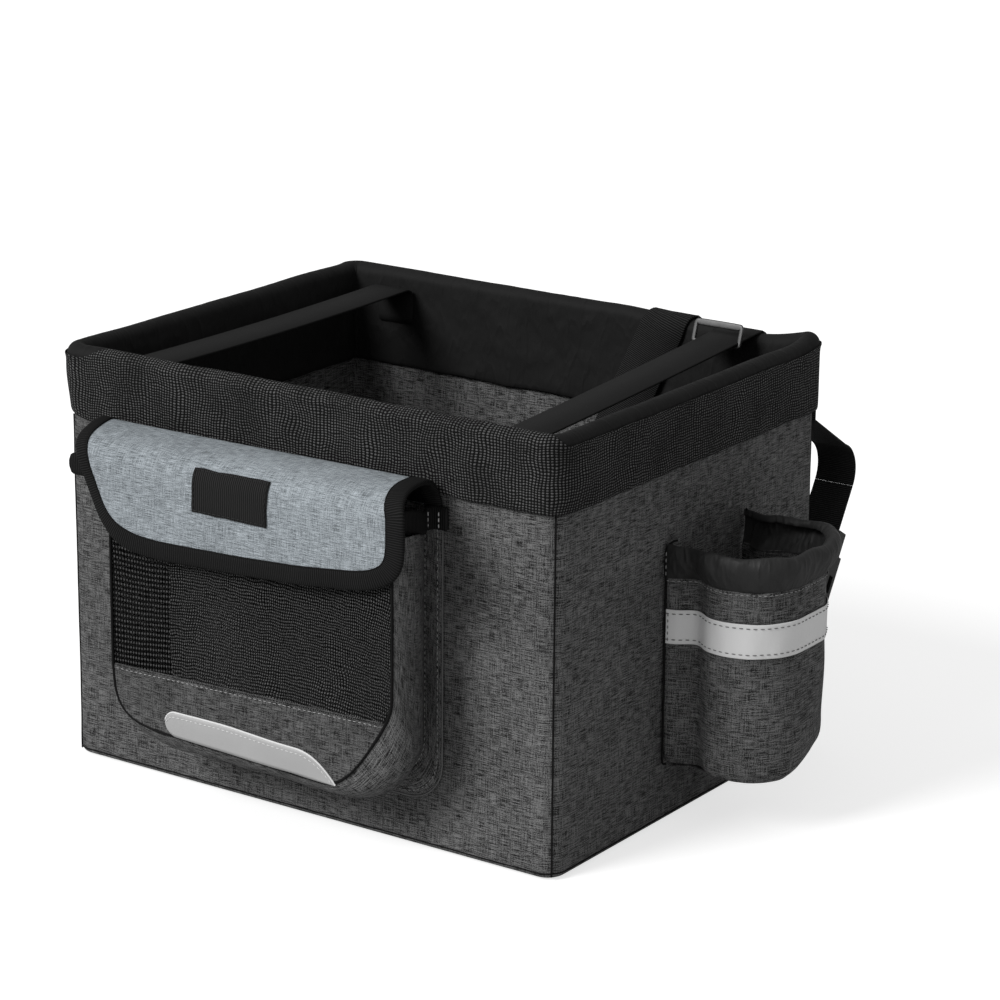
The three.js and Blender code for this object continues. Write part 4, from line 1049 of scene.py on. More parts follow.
def panelLine(x):  # height of the line between the lower panel and the net
    v = pocketValues
    return mixed(v["topLeft"], v["topRight"], (x - v["middle"] + v["frontHalf"]) / v["frontHalf"] / 2)


def bottomLine(x):  # height of the pocket's front lower edge
    return mixed(46.5, 42.6, eased(-67, 48, x) * 0.3 + 0.7 * min(1.0, max(0.0, (x + 67) / 115)))


netValues = {"low": 80.0, "top": 185.6, "inset": 0.3, "tuck": 1.0, "innerStart": -57.0, "innerGap": 0.6,
             "innerSway": 6.0}


def netOf(name, front, material, start=None, out=0.0):
    # the net between the panel's line and the mouth; a start cuts its left edge off along a wavering line
    v = netValues
    rows, uvRows = [], []
    for share in shares(30):
        left, right = outlineAt(front, mixed(v["low"], pocketValues["top"], share))
        first, last = left + v["inset"], right - v["inset"]
        if start is not None:
            waver = rough(share * 3, 2.0) + 1.2 * (1 - share) ** 2 - 0.5
            first = max(first, start + v["innerSway"] * waver)
        row = []
        for x in [mixed(first, last, shareX) for shareX in shares(48)]:
            row.append(onFront(x, mixed(panelLine(x) - v["tuck"], v["top"], share), out))
        rows.append(row)
        uvRows.append([(
            p.x + 2.0 * rough(p.x / 60, p.z / 50),
            p.z - 0.02 * p.x + 3.0 * math.exp((p.x - right) / 12.0) + 3.0 * rough(p.x / 55, p.z / 60, 7.0),
        ) for p in row])
    return clothFrom(name, rows, material, uvRows=uvRows)


def buildPocketFront(front):
    v = pocketValues
    low = [p for p in front if p.y < panelLine(p.x) - 0.6]
    low = [Vector((outlineAt(front, v["topLeft"])[0], v["topLeft"]))] + low
    low.append(Vector((outlineAt(front, v["topRight"])[1], v["topRight"])))
    rows = []
    for share in shares(12):
        row = []
        for spot in evenly(low, 2.5):
            top = panelLine(spot.x)
            row.append(onFront(spot.x, mixed(min(spot.y, top - 0.8), top, share), 0.55))
        rows.append(row)
    panel = withThickness(clothFrom("pocketLowerPanel", rows, lowerMelange, uvRows=wallUv(rows)), 1.0)
    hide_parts("pocket_lower_panel")
    settle(panel, "melange_cloth")

    net = netOf("pocketNet", front, netMaterial)
    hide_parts("pocket_net_window")
    settle(net, "net")
    inner = netOf("pocketNetInner", front, netBehind, netValues["innerStart"], netValues["innerGap"])
    settle(inner, "net")

    left, right = outlineAt(front, 82.0)
    xs = [mixed(left + 2, right - 2, share) for share in shares(60)]
    run = [(onFront(x, panelLine(x) - 2.0, 0.75), forward) for x in xs]
    stitchRow("panelStitches", [run], softThread, "melange_cloth", 2.0, 1.3, 0.2)
    hem = [onFront(x, panelLine(x), 0.3) + Vector((0, 0, 0.1)) for x in xs]
    settle(tube("panelHem", hem, 0.5, lowerMelange, 6), "melange_cloth")


def buildReflector():
    # a long patch with a round end on the left that runs out to a point on the right
    v = {"left": -58.2, "point": 56.4, "bend": 30.0, "high": 60.8, "end": 7.3}
    turn = v["left"] + v["end"]

    def endDrop(x):  # how far the round end falls short of the straight edges
        return v["end"] - math.sqrt(max(v["end"] ** 2 - max(turn - x, 0.0) ** 2, 0.0))

    def topAt(x):
        level = v["high"] - 2.2 * eased(-25, 30, x) - endDrop(x)
        fall = max(0.0, (x - v["bend"]) / (v["point"] - v["bend"])) ** 2.3
        return mixed(level, bottomLine(x) + 0.4, min(1.0, fall))

    def lowAt(x):
        return bottomLine(x) + 0.3 + endDrop(x)

    xs = [turn - v["end"] * math.cos(math.pi / 2 * share) for share in shares(8)]
    xs += [mixed(turn, v["bend"], share) for share in shares(26)[1:]]
    xs += [mixed(v["bend"], v["point"], math.sin(math.pi / 2 * share)) for share in shares(14)[1:]]
    rows = [[onFront(x, mixed(lowAt(x), topAt(x), share), 0.75) for x in xs] for share in shares(8)]
    patch = withThickness(clothFrom("pocketReflector", rows, reflective, uvRows=wallUv(rows)), 0.5, 1.0, 0)
    settle(patch, "reflective", "pocket_reflector")
    run = [(onFront(x, topAt(x) - 2.6, 1.3), forward) for x in xs[2:-3]]
    stitchRow("reflectorStitches", [run], paleThread, "reflective", 2.0, 1.1, 0.22)
    # painted highlight: a thin cord of the brighter band tape along the patch's top edge
    edge = [onFront(x, topAt(x) + 0.1, 1.0) for x in xs[1:]]
    settle(tube("reflectorEdgeHighlight", edge, 0.52, bandReflective, 6), "reflective")


def buildMouthBinding():
    # tape along the mouth of the pocket, up the left side, across the front and back
    middle = pocketValues["middle"]
    corners = [Vector((middle + x, wallY - depth)) for x, depth in (
        (-100.0, 2.4), (-91.0, 2.6), (-87.5, 5.0), (-88.8, 12.0), (-93.4, 36.0), (-92.5, 43.2), (0.0, 43.2),
        (92.5, 43.2), (94.4, 36.0), (92.0, 12.0), (88.2, 5.0), (91.0, 2.6), (100.0, 2.4),
    )]
    line = evenly(rounded(corners, 3), 4.0)
    outline = ((-1.4, 180.6), (0.9, 180.4), (1.3, 182.0), (1.2, 187.0), (1.1, 191.5), (0.4, 192.8),
               (-0.8, 192.8), (-1.5, 191.0), (-1.6, 186.0))
    sections = []
    for i, spot in enumerate(line):
        out, sway, rise = sideAt(line, i), 0.4 * rough(i / 3.0), mouthRise(wallY - spot.y)
        sections.append([Vector((*(spot + out * (reach + sway)), z + rise)) for reach, z in outline])
    settle(sweptFrom("pocketMouthBinding", sections, bindingTape), "black_webbing", "pocket_mouth_binding")

    # the tape's free end, round at its tip
    path = [Vector((x, wallY - depth, z)) for x, depth, z in ((-94.0, 40.8, 187.8), (-112.0, 41.0, 187.7),
                                                              (-125.0, 40.6, 187.5))]
    sections = []
    for spot in evenly(path, 1.2):
        half = 2.0 + math.sqrt(max(16.0 - max(0.0, -121.0 - spot.x) ** 2, 0.0))
        sections.append([spot + Vector((0, y, half * z)) for y, z in (
            (-1.1, -1), (1.1, -1), (1.3, -0.5), (1.3, 0.5), (1.1, 1), (-1.1, 1), (-1.3, 0.5), (-1.3, -0.5))])
    settle(sweptFrom("pocketMouthEnd", sections, bindingTape), "black_webbing")
    runs = []
    for x, depth in ((88.2, 5.4), (94.0, 4.0)):
        zs = [z + mouthRise(depth) for z in (181.5, 186.5, 191.5)]
        for place in (2 * middle - x, x):
            runs.append([(Vector((place, wallY - depth, z)), forward) for z in zs])
    stitchRow("mouthEndStitches", runs, paleThread, "black_webbing", 2.2, 1.0, 0.3)


pocketFront = buildPocketSides()
buildPocketFront(pocketFront)
buildReflector()
buildMouthBinding()
print("front pocket ready")

# Flap: one profile from its hem on the wall over the ridge and down in front
flapValues = {"middle": -4.0, "half": 108.0, "ridge": 208.0, "ridgeDepth": 18.0, "reach": 47.9,
              "shoulder": 17.0, "full": 0.78, "hang": 41.0, "hemLow": 191.5, "hemTop": 194.5, "tilt": 1.8}


def flapProfile():
    v = flapValues
    reach = v["reach"] - v["ridgeDepth"]
    foot = v["ridge"] - v["shoulder"]
    ridge = Vector((v["ridgeDepth"], v["ridge"]))
    root = [Vector((1.3, v["hemLow"])), Vector((1.3, v["hemTop"]))]
    root += bezier([root[1], Vector((5.0, v["ridge"] - 2)), Vector((9.0, v["ridge"])), ridge], 14)[1:]
    front = bezier([
        ridge,
        Vector((v["ridgeDepth"] + reach * v["full"], v["ridge"])),
        Vector((v["reach"], foot + v["shoulder"] * v["full"])),
        Vector((v["reach"], foot)),
    ], 18)[1:]
    front.append(Vector((v["reach"], foot - v["hang"])))
    line = root + front
    lengths = lengthsAlong(line)
    start = lengths[len(root) - 1]
    return line, [length - start for length in lengths]


flapLine, flapLengths = flapProfile()
flapEnd = flapLengths[-1]
flapStart = flapLengths[0]


def onFlap(across, along, lift):
    # across from the flap's middle, along from the ridge, lift off its middle surface
    index = 0
    while index < len(flapLengths) - 2 and flapLengths[index + 1] < along:
        index += 1
    share = (along - flapLengths[index]) / max(flapLengths[index + 1] - flapLengths[index], 1e-9)
    spot = flapLine[index].lerp(flapLine[index + 1], share)
    turn = min(1.0, max(0.0, share))
    slope = directionAt(flapLine, index).lerp(directionAt(flapLine, index + 1), turn).normalized()
    side = across / flapValues["half"]
    drape = 0.7 * math.sin(across / 23.0) * eased(20, 75, along) + 1.3 * rough(across / 30, along / 24, 3.0)
    drape -= (2.0 if side > 0 else 4.0) * eased(0.72, 1.02, abs(side))
    spot = spot + Vector((-slope.y, slope.x)) * (lift + drape * eased(10, 60, along))
    spot.y -= flapValues["tilt"] * eased(0.95, -0.95, side)
    return Vector((flapValues["middle"] + across, wallY - spot.x, spot.y))


flapOutline = [
    (-126.0, flapStart), (-124.5, -12.0), (-121.5, 0.0), (-117.5, 13.0), (-114.6, 25.5), (-110.8, 34.4),
    (-107.3, 46.4), (-100.0, 62.4), (-90.0, 73.7), (-77.0, 80.4), (-60.0, 82.8), (-39.0, 82.6),
    (-15.0, 82.0), (15.0, 80.9), (41.0, 79.0), (64.0, 77.2), (80.0, 75.6), (92.0, 72.5), (99.6, 67.9),
    (103.2, 63.6), (105.9, 58.0), (106.9, 51.0), (107.0, 43.0), (107.2, 36.0), (106.6, 31.0),
    (104.6, 26.5), (102.6, 21.5), (100.0, 13.9), (98.2, 5.6), (98.0, -2.0), (97.6, -12.0), (97.4, -18.0),
    (98.0, flapStart),
]


def flapEdge(spacing=3.0):
    # the outer edge as (across, along), from the hem on the left round to the hem on the right
    return evenly(rounded([Vector(spot) for spot in flapOutline], 2), spacing)


def flapSides(count=46):
    # the left and the right edge at the same count of places, each down to its lower corner
    edge = flapEdge(1.0)
    def nearest(goal):
        return min(range(len(edge)), key=lambda i: (edge[i] - Vector(goal)).length)

    first, last = nearest((-60, 82.8)), nearest((64, 77.2))
    return resampled(edge[:first + 1], count), resampled(edge[last:][::-1], count)


def buildFlap():
    rows, uvRows = [], []
    for left, right in zip(*flapSides()):
        spots = [left.lerp(right, 0.004 + 0.992 * share) for share in shares(44)]
        inset = min(1.0, max(0.0, left.y / 20))
        rows.append([onFlap(p.x, p.y - inset, 0.0) for p in spots])
        uvRows.append([(p.x, -p.y) for p in spots])
    cloth = clothFrom("flapCloth", rows, [flapCloth, pipingNylon], flip=True, uvRows=uvRows)
    withThickness(cloth, 1.6, 0.0, 1, lining=1)
    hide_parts("flap_root", "flap_panel")

    outline = [(10.6, 0.95), (10.3, 1.35), (7.0, 1.5), (3.5, 1.55), (1.0, 1.35), (0.1, 0.75), (-0.1, 0.0),
               (0.1, -0.75), (1.0, -1.35), (3.5, -1.5), (7.0, -1.5), (10.3, -1.35), (10.6, -0.95)]
    edge = flapEdge()
    sections, inside = [], []
    for i, spot in enumerate(edge):
        inward, sway = sideAt(edge, i), 0.25 * rough(i / 4.0)
        narrow = mixed(0.74, 1.0, eased(-112, -76, spot.x))
        ring = []
        for w, lift in outline:
            across = spot.x + inward.x * (w * narrow + sway)
            ring.append(onFlap(across, spot.y + inward.y * w * narrow, lift))
        sections.append(ring)
        inside.append(spot + inward * 10.2 * narrow)
    binding = sweptFrom("flapBinding", sections, bindingTape)
    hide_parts("flap_binding")
    # a thin dark line along the inner edge of the binding
    innerEdgeLine = tube("flapEdgeLine", [onFlap(p.x, p.y, 1.15) for p in inside], 0.45, pipingNylon, 6)
    for piece in (cloth, binding, innerEdgeLine):
        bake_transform(piece)


buildFlap()


def flapPatchOf(name, material, across, along, lift, thickness, replaced, slot, uneven=0.0):
    rows, uvRows = [], []
    for a in [mixed(*along, share) for share in shares(12)]:
        row = []
        for b in [mixed(*across, share) for share in shares(16)]:
            sway = uneven * rough(b / 9, a / 9) if b in across or a in along else 0.0
            row.append(onFlap(b + sway, a + sway, lift))
        rows.append(row)
        uvRows.append([(a, mixed(*across, share)) for share in shares(16)])
    piece = withThickness(clothFrom(name, rows, material, flip=True, uvRows=uvRows), thickness, 0.0, 0)
    bevelled(piece, thickness * 0.35)
    settle(piece, slot, replaced, body="flap")


def bevelled(piece, width):
    bevel = piece.modifiers.new("softEdge", "BEVEL")
    bevel.width = width * mm
    bevel.segments = 2
    return bevel


patchAcross, patchAlong = (-29.2, 21.2), (28.0, 51.6)
flapPatchOf("flapPatch", patchTape, patchAcross, patchAlong, 1.4, 0.9, "flap_patch", "black_webbing", 0.6)
flapPatchOf("flapHookStrip", fastenerTape, (-30, 30), (flapEnd - 27, flapEnd - 11), -1.9, 1.2,
            "flap_hook_strip", "hook_and_loop")


def patchRuns(inset=1.3):  # round the patch, a little in from its edges
    left, right = patchAcross[0] + inset, patchAcross[1] - inset
    near, far = patchAlong[0] + inset, patchAlong[1] - inset
    corners = [Vector(spot) for spot in ((left, near), (right, near), (right, far), (left, far))]
    runs = []
    for first, second in zip(corners, corners[1:] + corners[:1]):
        spots = [first.lerp(second, share) for share in shares(20)]
        pairs = [(onFlap(p.x, p.y, 1.9), onFlap(p.x, p.y, 3.0)) for p in spots]
        runs.append([(spot, (out - spot).normalized()) for spot, out in pairs])
    return runs


stitchRow("flapPatchStitches", patchRuns(), darkThread, "black_webbing", 2.2, 1.0, 0.25, "flap")

loopXs = [mixed(-34.0, 26.0, share) for share in shares(16)]
loopRows = [[Vector((x, wallY - 44.2, mixed(161.0, 177.0, share))) for x in loopXs] for share in shares(6)]
loopStrip = withThickness(clothFrom("pocketLoopStrip", loopRows, fastenerTape), 1.0, 1.0, 0)
settle(loopStrip, "hook_and_loop", "pocket_loop_strip")
print("flap ready")

# Bottle pocket on the right wall
bottleValues = {"x": 165.3, "y": 10.5, "width": 79.0, "depth": 66.0, "radius": 30.0, "top": 140.2,
                "belly": 46.0, "band": 103.0, "bandTop": 122.5, "hem": 138.3, "dip": 7.4, "dipAt": 16.0,
                "dipWidth": 8.5}


def bottleSpots(out, count=84, hollow=1.0):
    # (x, y) from the wall in front, round the pocket, to the wall behind, with the hollow beside each seam
    v = bottleValues
    half, radius = v["width"] / 2, v["radius"] + out
    cx, cy = v["x"] + v["depth"] - v["radius"], half - v["radius"]
    line = [Vector((v["x"], v["y"] - half - out)), Vector((cx, v["y"] - half - out))]
    for side in (-1, 1):
        for share in shares(16):
            angle = math.pi / 2 * (share if side > 0 else share - 1)
            x, y = cx + radius * math.cos(angle), v["y"] + side * cy + radius * math.sin(angle)
            line.append(Vector((x, y)))
    line.append(Vector((v["x"], v["y"] + half + out)))
    total = lengthsAlong(line)[-1]
    found = resampled(line, count)
    for spot, share in zip(found, shares(count)):
        near = total * min(share, 1 - share)
        dip = hollow * v["dip"] * math.exp(-(((near - v["dipAt"]) / v["dipWidth"]) ** 2))
        spot.y += dip if share < 0.5 else -dip
    return found


def bottleRow(spots, z, out, inner=0.1, loose=1.0, low=0.0):
    # one level of the pocket: its soft folds, which fade at the seams, and what the cloth leaves loose
    row = []
    for i, spot in enumerate(spots):
        end = min(i, len(spots) - 1 - i)
        fold = 0.9 * rough(i / 5.0, z / 34) + low * math.exp(-end / 8.0) * 2.2 * rough(i / 2.2, z / 12, 5.0)
        slack = 0.8 * loose * eased(120, 60, z) * rough(i / 9.0, z / 50, 2.0)
        shift = sideAt(spots, i) * (out + fold * eased(0, 3, end) + slack)
        row.append(Vector((max(spot.x + shift.x, bottleValues["x"] + inner), spot.y + shift.y, z + 0.5)))
    return row


def buildBottlePocket():
    v = bottleValues
    spots = bottleSpots(0.0)
    levels = [(34.4, -14.0), (34.2, -9.0), (34.6, -5.0), (36.5, -1.8), (40.0, -0.4), (v["belly"], 0.0)]
    levels += [(mixed(v["belly"], v["top"], share), 0.0) for share in shares(20)[1:]]
    rows = []
    for z, out in levels:
        low = eased(75, 38, z)
        row = bottleRow(spots, z, out, low=low)
        for spot, along in zip(row, shares(len(spots) - 1)):  # the bottom sags, and rises at the back
            rise = 13.0 * eased(0.38, 0.66, along) * eased(1.0, 0.85, along)
            spot.z += low * (rise - 0.8 - 3.4 * abs(math.sin(math.pi * along)) ** 0.6)
        rows.append(row)
    pocket = withThickness(clothFrom("bottlePocket", rows, melange), 1.0)
    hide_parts("bottle_pocket")
    settle(pocket, "melange_cloth")

    rows, line = [], bottleSpots(-11.0, 40)
    for share in shares(10):
        z = 34.0 - 3.4 * math.sin(math.pi * share * 0.6)
        rows.append([Vector((mixed(v["x"] + 0.3, spot.x, share), spot.y, z)) for spot in line])
    settle(withThickness(clothFrom("bottlePocketFloor", rows, melange), 0.8, 1.0, 0), "melange_cloth")

    spots = bottleSpots(0.75)
    zs = [mixed(v["band"], v["bandTop"], share) for share in shares(8)]
    uvRows = [[(length, z) for length in lengthsAlong(spots)] for z in zs]
    band = clothFrom("bottleBand", [bottleRow(spots, z, 0.0, 0.3) for z in zs], bandReflective, uvRows=uvRows)
    settle(withThickness(band, 0.45, 1.0, 1), "reflective", "bottle_pocket_band")
    faces = [sideAt(spots, i).to_3d() for i in range(len(spots))]
    runs = [list(zip(bottleRow(spots, z, 0.62, -1.0), faces)) for z in (v["band"] + 2.6, v["bandTop"] - 2.4)]
    stitchRow("bandStitches", runs, greyThread, "reflective", 2.2, 1.6, 0.26)
    run = list(zip(bottleRow(spots, v["hem"], 0.15, -1.0, 0.0), faces))
    stitchRow("bottleHemStitches", [run], softThread, "melange_cloth", 1.8, 1.3, 0.17)


def buildRuffle():
    v = {"foot": 139.6, "height": 19.6, "count": 150}
    plain = bottleSpots(0.0, v["count"])
    bridged = bottleSpots(0.0, v["count"], 0.45)
    rows = []
    profile = [(-1.2, 0.0), (0.3, 0.02), (1.5, 0.14), (3.0, 0.3), (4.2, 0.5), (4.6, 0.7), (3.6, 0.88),
               (2.2, 0.98), (0.8, 1.0), (-0.6, 0.93), (-1.2, 0.8)]
    for out, share in profile:
        row = []
        for i, (foot, top) in enumerate(zip(plain, bridged)):
            spot, normal = foot.lerp(top, eased(0.0, 0.4, share)), sideAt(plain, i)
            end = eased(0, 9, min(i, v["count"] - i))
            gather = math.sin(i / 3.4 + 1.8 * rough(i / 12.0)) * (0.5 + 0.5 * rough(i / 7.0, 3.0))
            body = share * (1 - share) * 4
            flare = 0.9 * math.exp(-(((i / v["count"] - 0.66) / 0.12) ** 2)) * share
            ridge = 0.5 - abs(rough(i / 6.5 + share * 2.2, share * 1.4, 1.0)) * 2.4
            fold = body * (1.5 * rough(i / 10.0 + share, share * 1.6, 5.0) + 1.3 * ridge)
            fold += 0.5 * gather * (1 - share)
            rise = share * (2.0 * rough(i / 19.0, 6.0) + 0.5 * gather + 1.6 * flare)
            reach = out * (1 + flare) * (0.45 + 0.55 * end) + end * fold
            x = max(spot.x + normal.x * reach, bottleValues["x"] + 0.2)
            row.append(Vector((x, spot.y + normal.y * reach, v["foot"] + share * v["height"] + rise)))
        rows.append(row)
    ruffle = withThickness(clothFrom("bottleRuffle", rows, ruffleNylon), 0.6)
    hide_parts("bottle_pocket_ruffle")
    settle(ruffle, "black_nylon")


def buildSeamDashes():
    # short rows of stitches beside each seam of the bottle pocket
    spots = bottleSpots(0.0)
    for label, side, spot in (("Front", -1, spots[1]), ("Back", 1, spots[-2])):
        for name, low, high, thread, reach, length, gap, slot in (
            ("hemDashes", 124.5, 139.0, greyThread, 0.6, 2.0, 1.0, "melange_cloth"),
            ("bandDashes", 104.5, 121.5, greyThread, 1.4, 1.8, 1.6, "melange_cloth"),
            ("ruffleDashes", 142.0, 157.0, lightThread, 4.4, 2.2, 1.4, "black_nylon"),
            ("lowDashes", 40.0, 102.0, greyThread, 0.5, 2.0, 1.0, "melange_cloth"),
        ):
            foot, out = Vector((spot.x + 0.4, spot.y + side * reach, 0.0)), Vector((0.25, side, 0))
            run = [(foot + Vector((0, 0, mixed(low, high, share))), out) for share in shares(12)]
            stitchRow(name + label, [run], thread, slot, length, gap, 0.28)


def buildBottlePiping():
    v = bottleValues
    for label, side in (("Front", -1), ("Back", 1)):
        y = v["y"] + side * (v["width"] / 2 + 0.3)
        path = [(3.0, 0.0, 35.2), (1.2, 0.6, 34.6)]
        path += [(0.8 + 0.25 * rough(z / 9, side), 0.5, z) for z in range(38, 140, 4)]
        path += [(0.8, 1.2, 143.0), (0.9, 2.2, 150.0), (1.2, 1.2, 157.0), (2.6, -1.6, 160.0),
                 (4.5, -4.5, 160.5)]
        path = [Vector((v["x"] + x, y + side * out, z)) for x, out, z in path]
        settle(tube("bottlePiping" + label, rounded(path, 2), 0.6, pipingNylon), "black_nylon")


buildSeamDashes()
buildBottlePocket()
buildRuffle()
buildBottlePiping()
print("bottle pocket ready")

# Straps in the mouth
right = Vector((1.0, 0.0, 0.0))
rollY, rollZ = basketValues["halfY"] + collarValues["rollX"], collarValues["rollZ"]
wrap = collarValues["roll"] + 1.0


def overRoll(x, height, fromAngle, steps=14):
    # over the rear roll from an angle, then down the outer skirt
    found = []
    for share in shares(steps):
        angle = fromAngle * (1 - share)
        found.append(Vector((x, rollY + wrap * math.cos(angle), height + wrap * math.sin(angle))))
    found += [Vector((x, rollY + wrap, height - 22.0 * share)) for share in shares(5)[1:]]
    return found


strapValues = {"thickness": 1.3, "spacing": 4.0, "leftTop": 229.9, "leftEnd": 118.0, "leftSag": 1.6,
               "rightY": -119.0, "rightZ": 207.0, "rightSag": 1.2}


def smoothStrap(name, path, passes, replaced):
    line = evenly(rounded(path, passes), strapValues["spacing"])
    settle(tapeAlong(name, line, right, strapValues["thickness"], strapNylon), "black_nylon", replaced)


def buildLeftStrap():
    v, x = strapValues, crossings["left"]
    half = [(121.0, 208.0), (121.0, 222.0), (120.6, 228.0), (v["leftEnd"], v["leftTop"])]
    path = [Vector((x, -y, z)) for y, z in half]
    for y in range(-108, 109, 12):
        path.append(Vector((x, y, v["leftTop"] - v["leftSag"] * (1 - (y / v["leftEnd"]) ** 2))))
    path += [Vector((x, y, z)) for y, z in half[::-1]]
    smoothStrap("leftStrap", path, 2, "left_strap")


def buildRightStrap():
    v, x, farX = strapValues, crossings["rightFront"], crossings["rightRear"]
    start = Vector((x, v["rightY"], v["rightZ"]))
    height = rollZ + rimSag(farX, rollY)
    toRoll = Vector((rollY - v["rightY"], height - v["rightZ"]))
    slope = math.atan2(toRoll.y, toRoll.x) + math.asin(wrap / toRoll.length)
    run = math.sqrt(toRoll.length_squared - wrap**2)
    end = Vector((farX, v["rightY"] + run * math.cos(slope), v["rightZ"] + run * math.sin(slope)))
    path = [Vector((x, y, z)) for y, z in ((-121.0, 182.0), (-121.0, 196.0), (-120.8, 203.0))]
    path.append(start.lerp(end, 0.02))
    for share in shares(20)[1:-1]:
        path.append(start.lerp(end, share) + Vector((0, 0, -v["rightSag"] * 4 * share * (1 - share))))
    path += overRoll(farX, height, slope + math.pi / 2)
    smoothStrap("rightStrap", path, 1, "right_strap")


def aroundRim(x, s, lift):
    # a place on the rear roll from its unrolled length: 0 where it leaves the inner side, more over the top
    height = rollZ + rimSag(x, rollY) * eased(-20, 0, s)
    if s < 0:
        return Vector((x, rollY - wrap - lift, height + s))
    angle = math.pi - s / wrap
    if angle < 0:
        return Vector((x, rollY + wrap + lift, height - (s - math.pi * wrap)))
    return Vector((x, rollY + (wrap + lift) * math.cos(angle), height + (wrap + lift) * math.sin(angle)))


def buildTether():
    # down inside on a slant, and over the roll with the hump that stiff webbing makes
    half, thick = 14.0, 0.7
    over = math.pi * wrap
    flat = [(-28.0, 28.5 - rollZ), (64.5, -6.0), (69.0, over * 0.42), (70.5, over * 0.8), (70.5, over),
            (70.5, over + 22.0)]
    path = evenly(rounded([Vector(spot) for spot in flat], 3), 2.2)
    lengths = lengthsAlong(path)
    outline = [(-half, -0.3), (-half + 0.4, -thick), (0.0, -thick), (half - 0.4, -thick), (half, -0.3),
               (half, 0.3), (half - 0.4, thick), (0.0, thick), (-half + 0.4, thick), (-half, 0.3)]
    sections = []
    for i, spot in enumerate(path):
        across = sideAt(path, i)
        hump = 0.3 * math.exp(-(((spot.y - over / 2) / 9) ** 2))
        belly = 3.0 * math.sin(math.pi * min(1.0, lengths[i] / 220))
        ring = []
        for a, lift in outline:
            place = spot + across * a
            crown = hump * (1 - (a / half) ** 2 * 0.5)
            ring.append(aroundRim(place.x, place.y, lift + crown + (belly if place.y < 0 else 0.0) + 0.35))
        sections.append(ring)
    settle(sweptFrom("tetherWebbing", sections, webbing), "black_webbing", "tether_webbing")


sliderValues = {"lean": 18, "shift": (-2.4, 0.0, 1.7), "halfX": 14.9, "halfZ": 5.5, "corner": 1.4,
                "bar": 1.25, "topBar": 2.1}


def buildSlider():
    # stamped ring that hangs on the right strap by its upper bar
    v = sliderValues
    low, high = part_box("strap_slider")
    lean = math.radians(v["lean"])
    centre = (low + high) / 2 / mm + Vector(v["shift"])
    up = Vector((0, math.sin(lean), math.cos(lean)))
    face = right.cross(up).normalized()
    halfX, halfZ, corner = v["halfX"], v["halfZ"], v["corner"]
    loop = []
    for sideX, sideZ, turns in ((1, 1, 0.0), (-1, 1, 0.5), (-1, -1, 1.0), (1, -1, 1.5)):
        middle = Vector((sideX * (halfX - corner), sideZ * (halfZ - corner)))
        for angle in [math.pi * (turns + share / 2) for share in shares(6)]:
            loop.append(middle + corner * Vector((math.cos(angle), math.sin(angle))))
    sections = []
    for i, spot in enumerate(loop):
        along = (loop[(i + 1) % len(loop)] - loop[i - 1]).normalized()
        upper = eased(2.4, 4.6, spot.y) * eased(halfX, halfX - 1.5, abs(spot.x))
        wide = mixed(v["bar"], v["topBar"], upper)
        ring = []
        for angle in [2 * math.pi * k / 12 for k in range(12)]:
            turn = (math.cos(angle), math.sin(angle))
            reach, deep = (math.copysign(abs(part) ** 0.45, part) for part in turn)
            place = spot + Vector((along.y, -along.x)) * reach * wide
            ring.append(centre + right * place.x + up * place.y + face * deep)
        sections.append(ring)
    slider = softened(sweptFrom("strapSlider", sections, steel, closedPath=True))
    settle(slider, "steel", "strap_slider", body="slider")


buildLeftStrap()
buildRightStrap()
buildTether()
buildSlider()
print("straps ready")

# Handlebar side: straps with their buckles, and the loop round the head tube
barValues = {"x": crossings["bar"], "y": 164.0, "z": 150.0, "loop": 18.0, "wall": 133.0, "leave": 190.0,
             "anchorZ": 64.758, "anchorLow": 49.8, "web": 1.4, "tubeY": 168.0, "tubeRadius": 25.7,
             "tubeZ": 52.0, "tubeTab": 43.7}
lowerDirection = Vector((0.0, 0.521472, 0.853269))


def barTape(name, path, replaced, across=right):
    return settle(tapeAlong(name, path, across, barValues["web"], webbing), "black_webbing", replaced)


def buildHandlebarStraps():
    v = barValues
    lean = math.atan2(lowerDirection.z, lowerDirection.y)
    upperLean = math.asin((v["y"] - v["wall"] - v["loop"]) / 40)
    for label, side in (("Left", -1), ("Right", 1)):
        x, end = side * v["x"], label.lower()
        foot = Vector((x, v["wall"], v["anchorZ"]))
        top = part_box("handlebar_strap_" + end)[1].z / mm
        path = [Vector((x, v["wall"], z)) for z in (top, v["leave"])]
        for share in shares(22):
            angle = math.pi / 2 - upperLean + (lean - math.pi + upperLean) * share
            y, z = v["y"] + v["loop"] * math.cos(angle), v["z"] + v["loop"] * math.sin(angle)
            path.append(Vector((x, y, z)))
        barTape("handlebarStrap" + label, evenly(path, 2.5), "handlebar_strap_" + end)

        tail = [foot + lowerDirection * mixed(88.6, 60.9, share) for share in shares(14)]
        piece = barTape("handlebarTail" + label, tail, "handlebar_strap_tail_" + end)
        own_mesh(piece)

        path = [Vector((x, v["wall"], v["anchorLow"])), foot, foot + lowerDirection * 16]
        barTape("handlebarAnchor" + label, evenly(rounded(path, 3), 1.5), "handlebar_strap_anchor_" + end)


def buildHeadTubeStrap():
    v = barValues
    radius, middle = v["tubeRadius"], v["tubeY"]
    foot = [(v["tubeTab"], v["wall"]), (radius + 4, v["wall"]), (radius, v["wall"] + 3)]
    turns = [math.pi * share for share in shares(30)]
    bend = [(radius * math.cos(turn), middle + radius * math.sin(turn)) for turn in turns]
    path = [Vector((x, y, v["tubeZ"])) for x, y in foot + bend + [(-x, y) for x, y in foot[::-1]]]
    barTape("headTubeStrap", evenly(rounded(path, 1), 2.5), "head_tube_strap", Vector((0, 0, 1)))


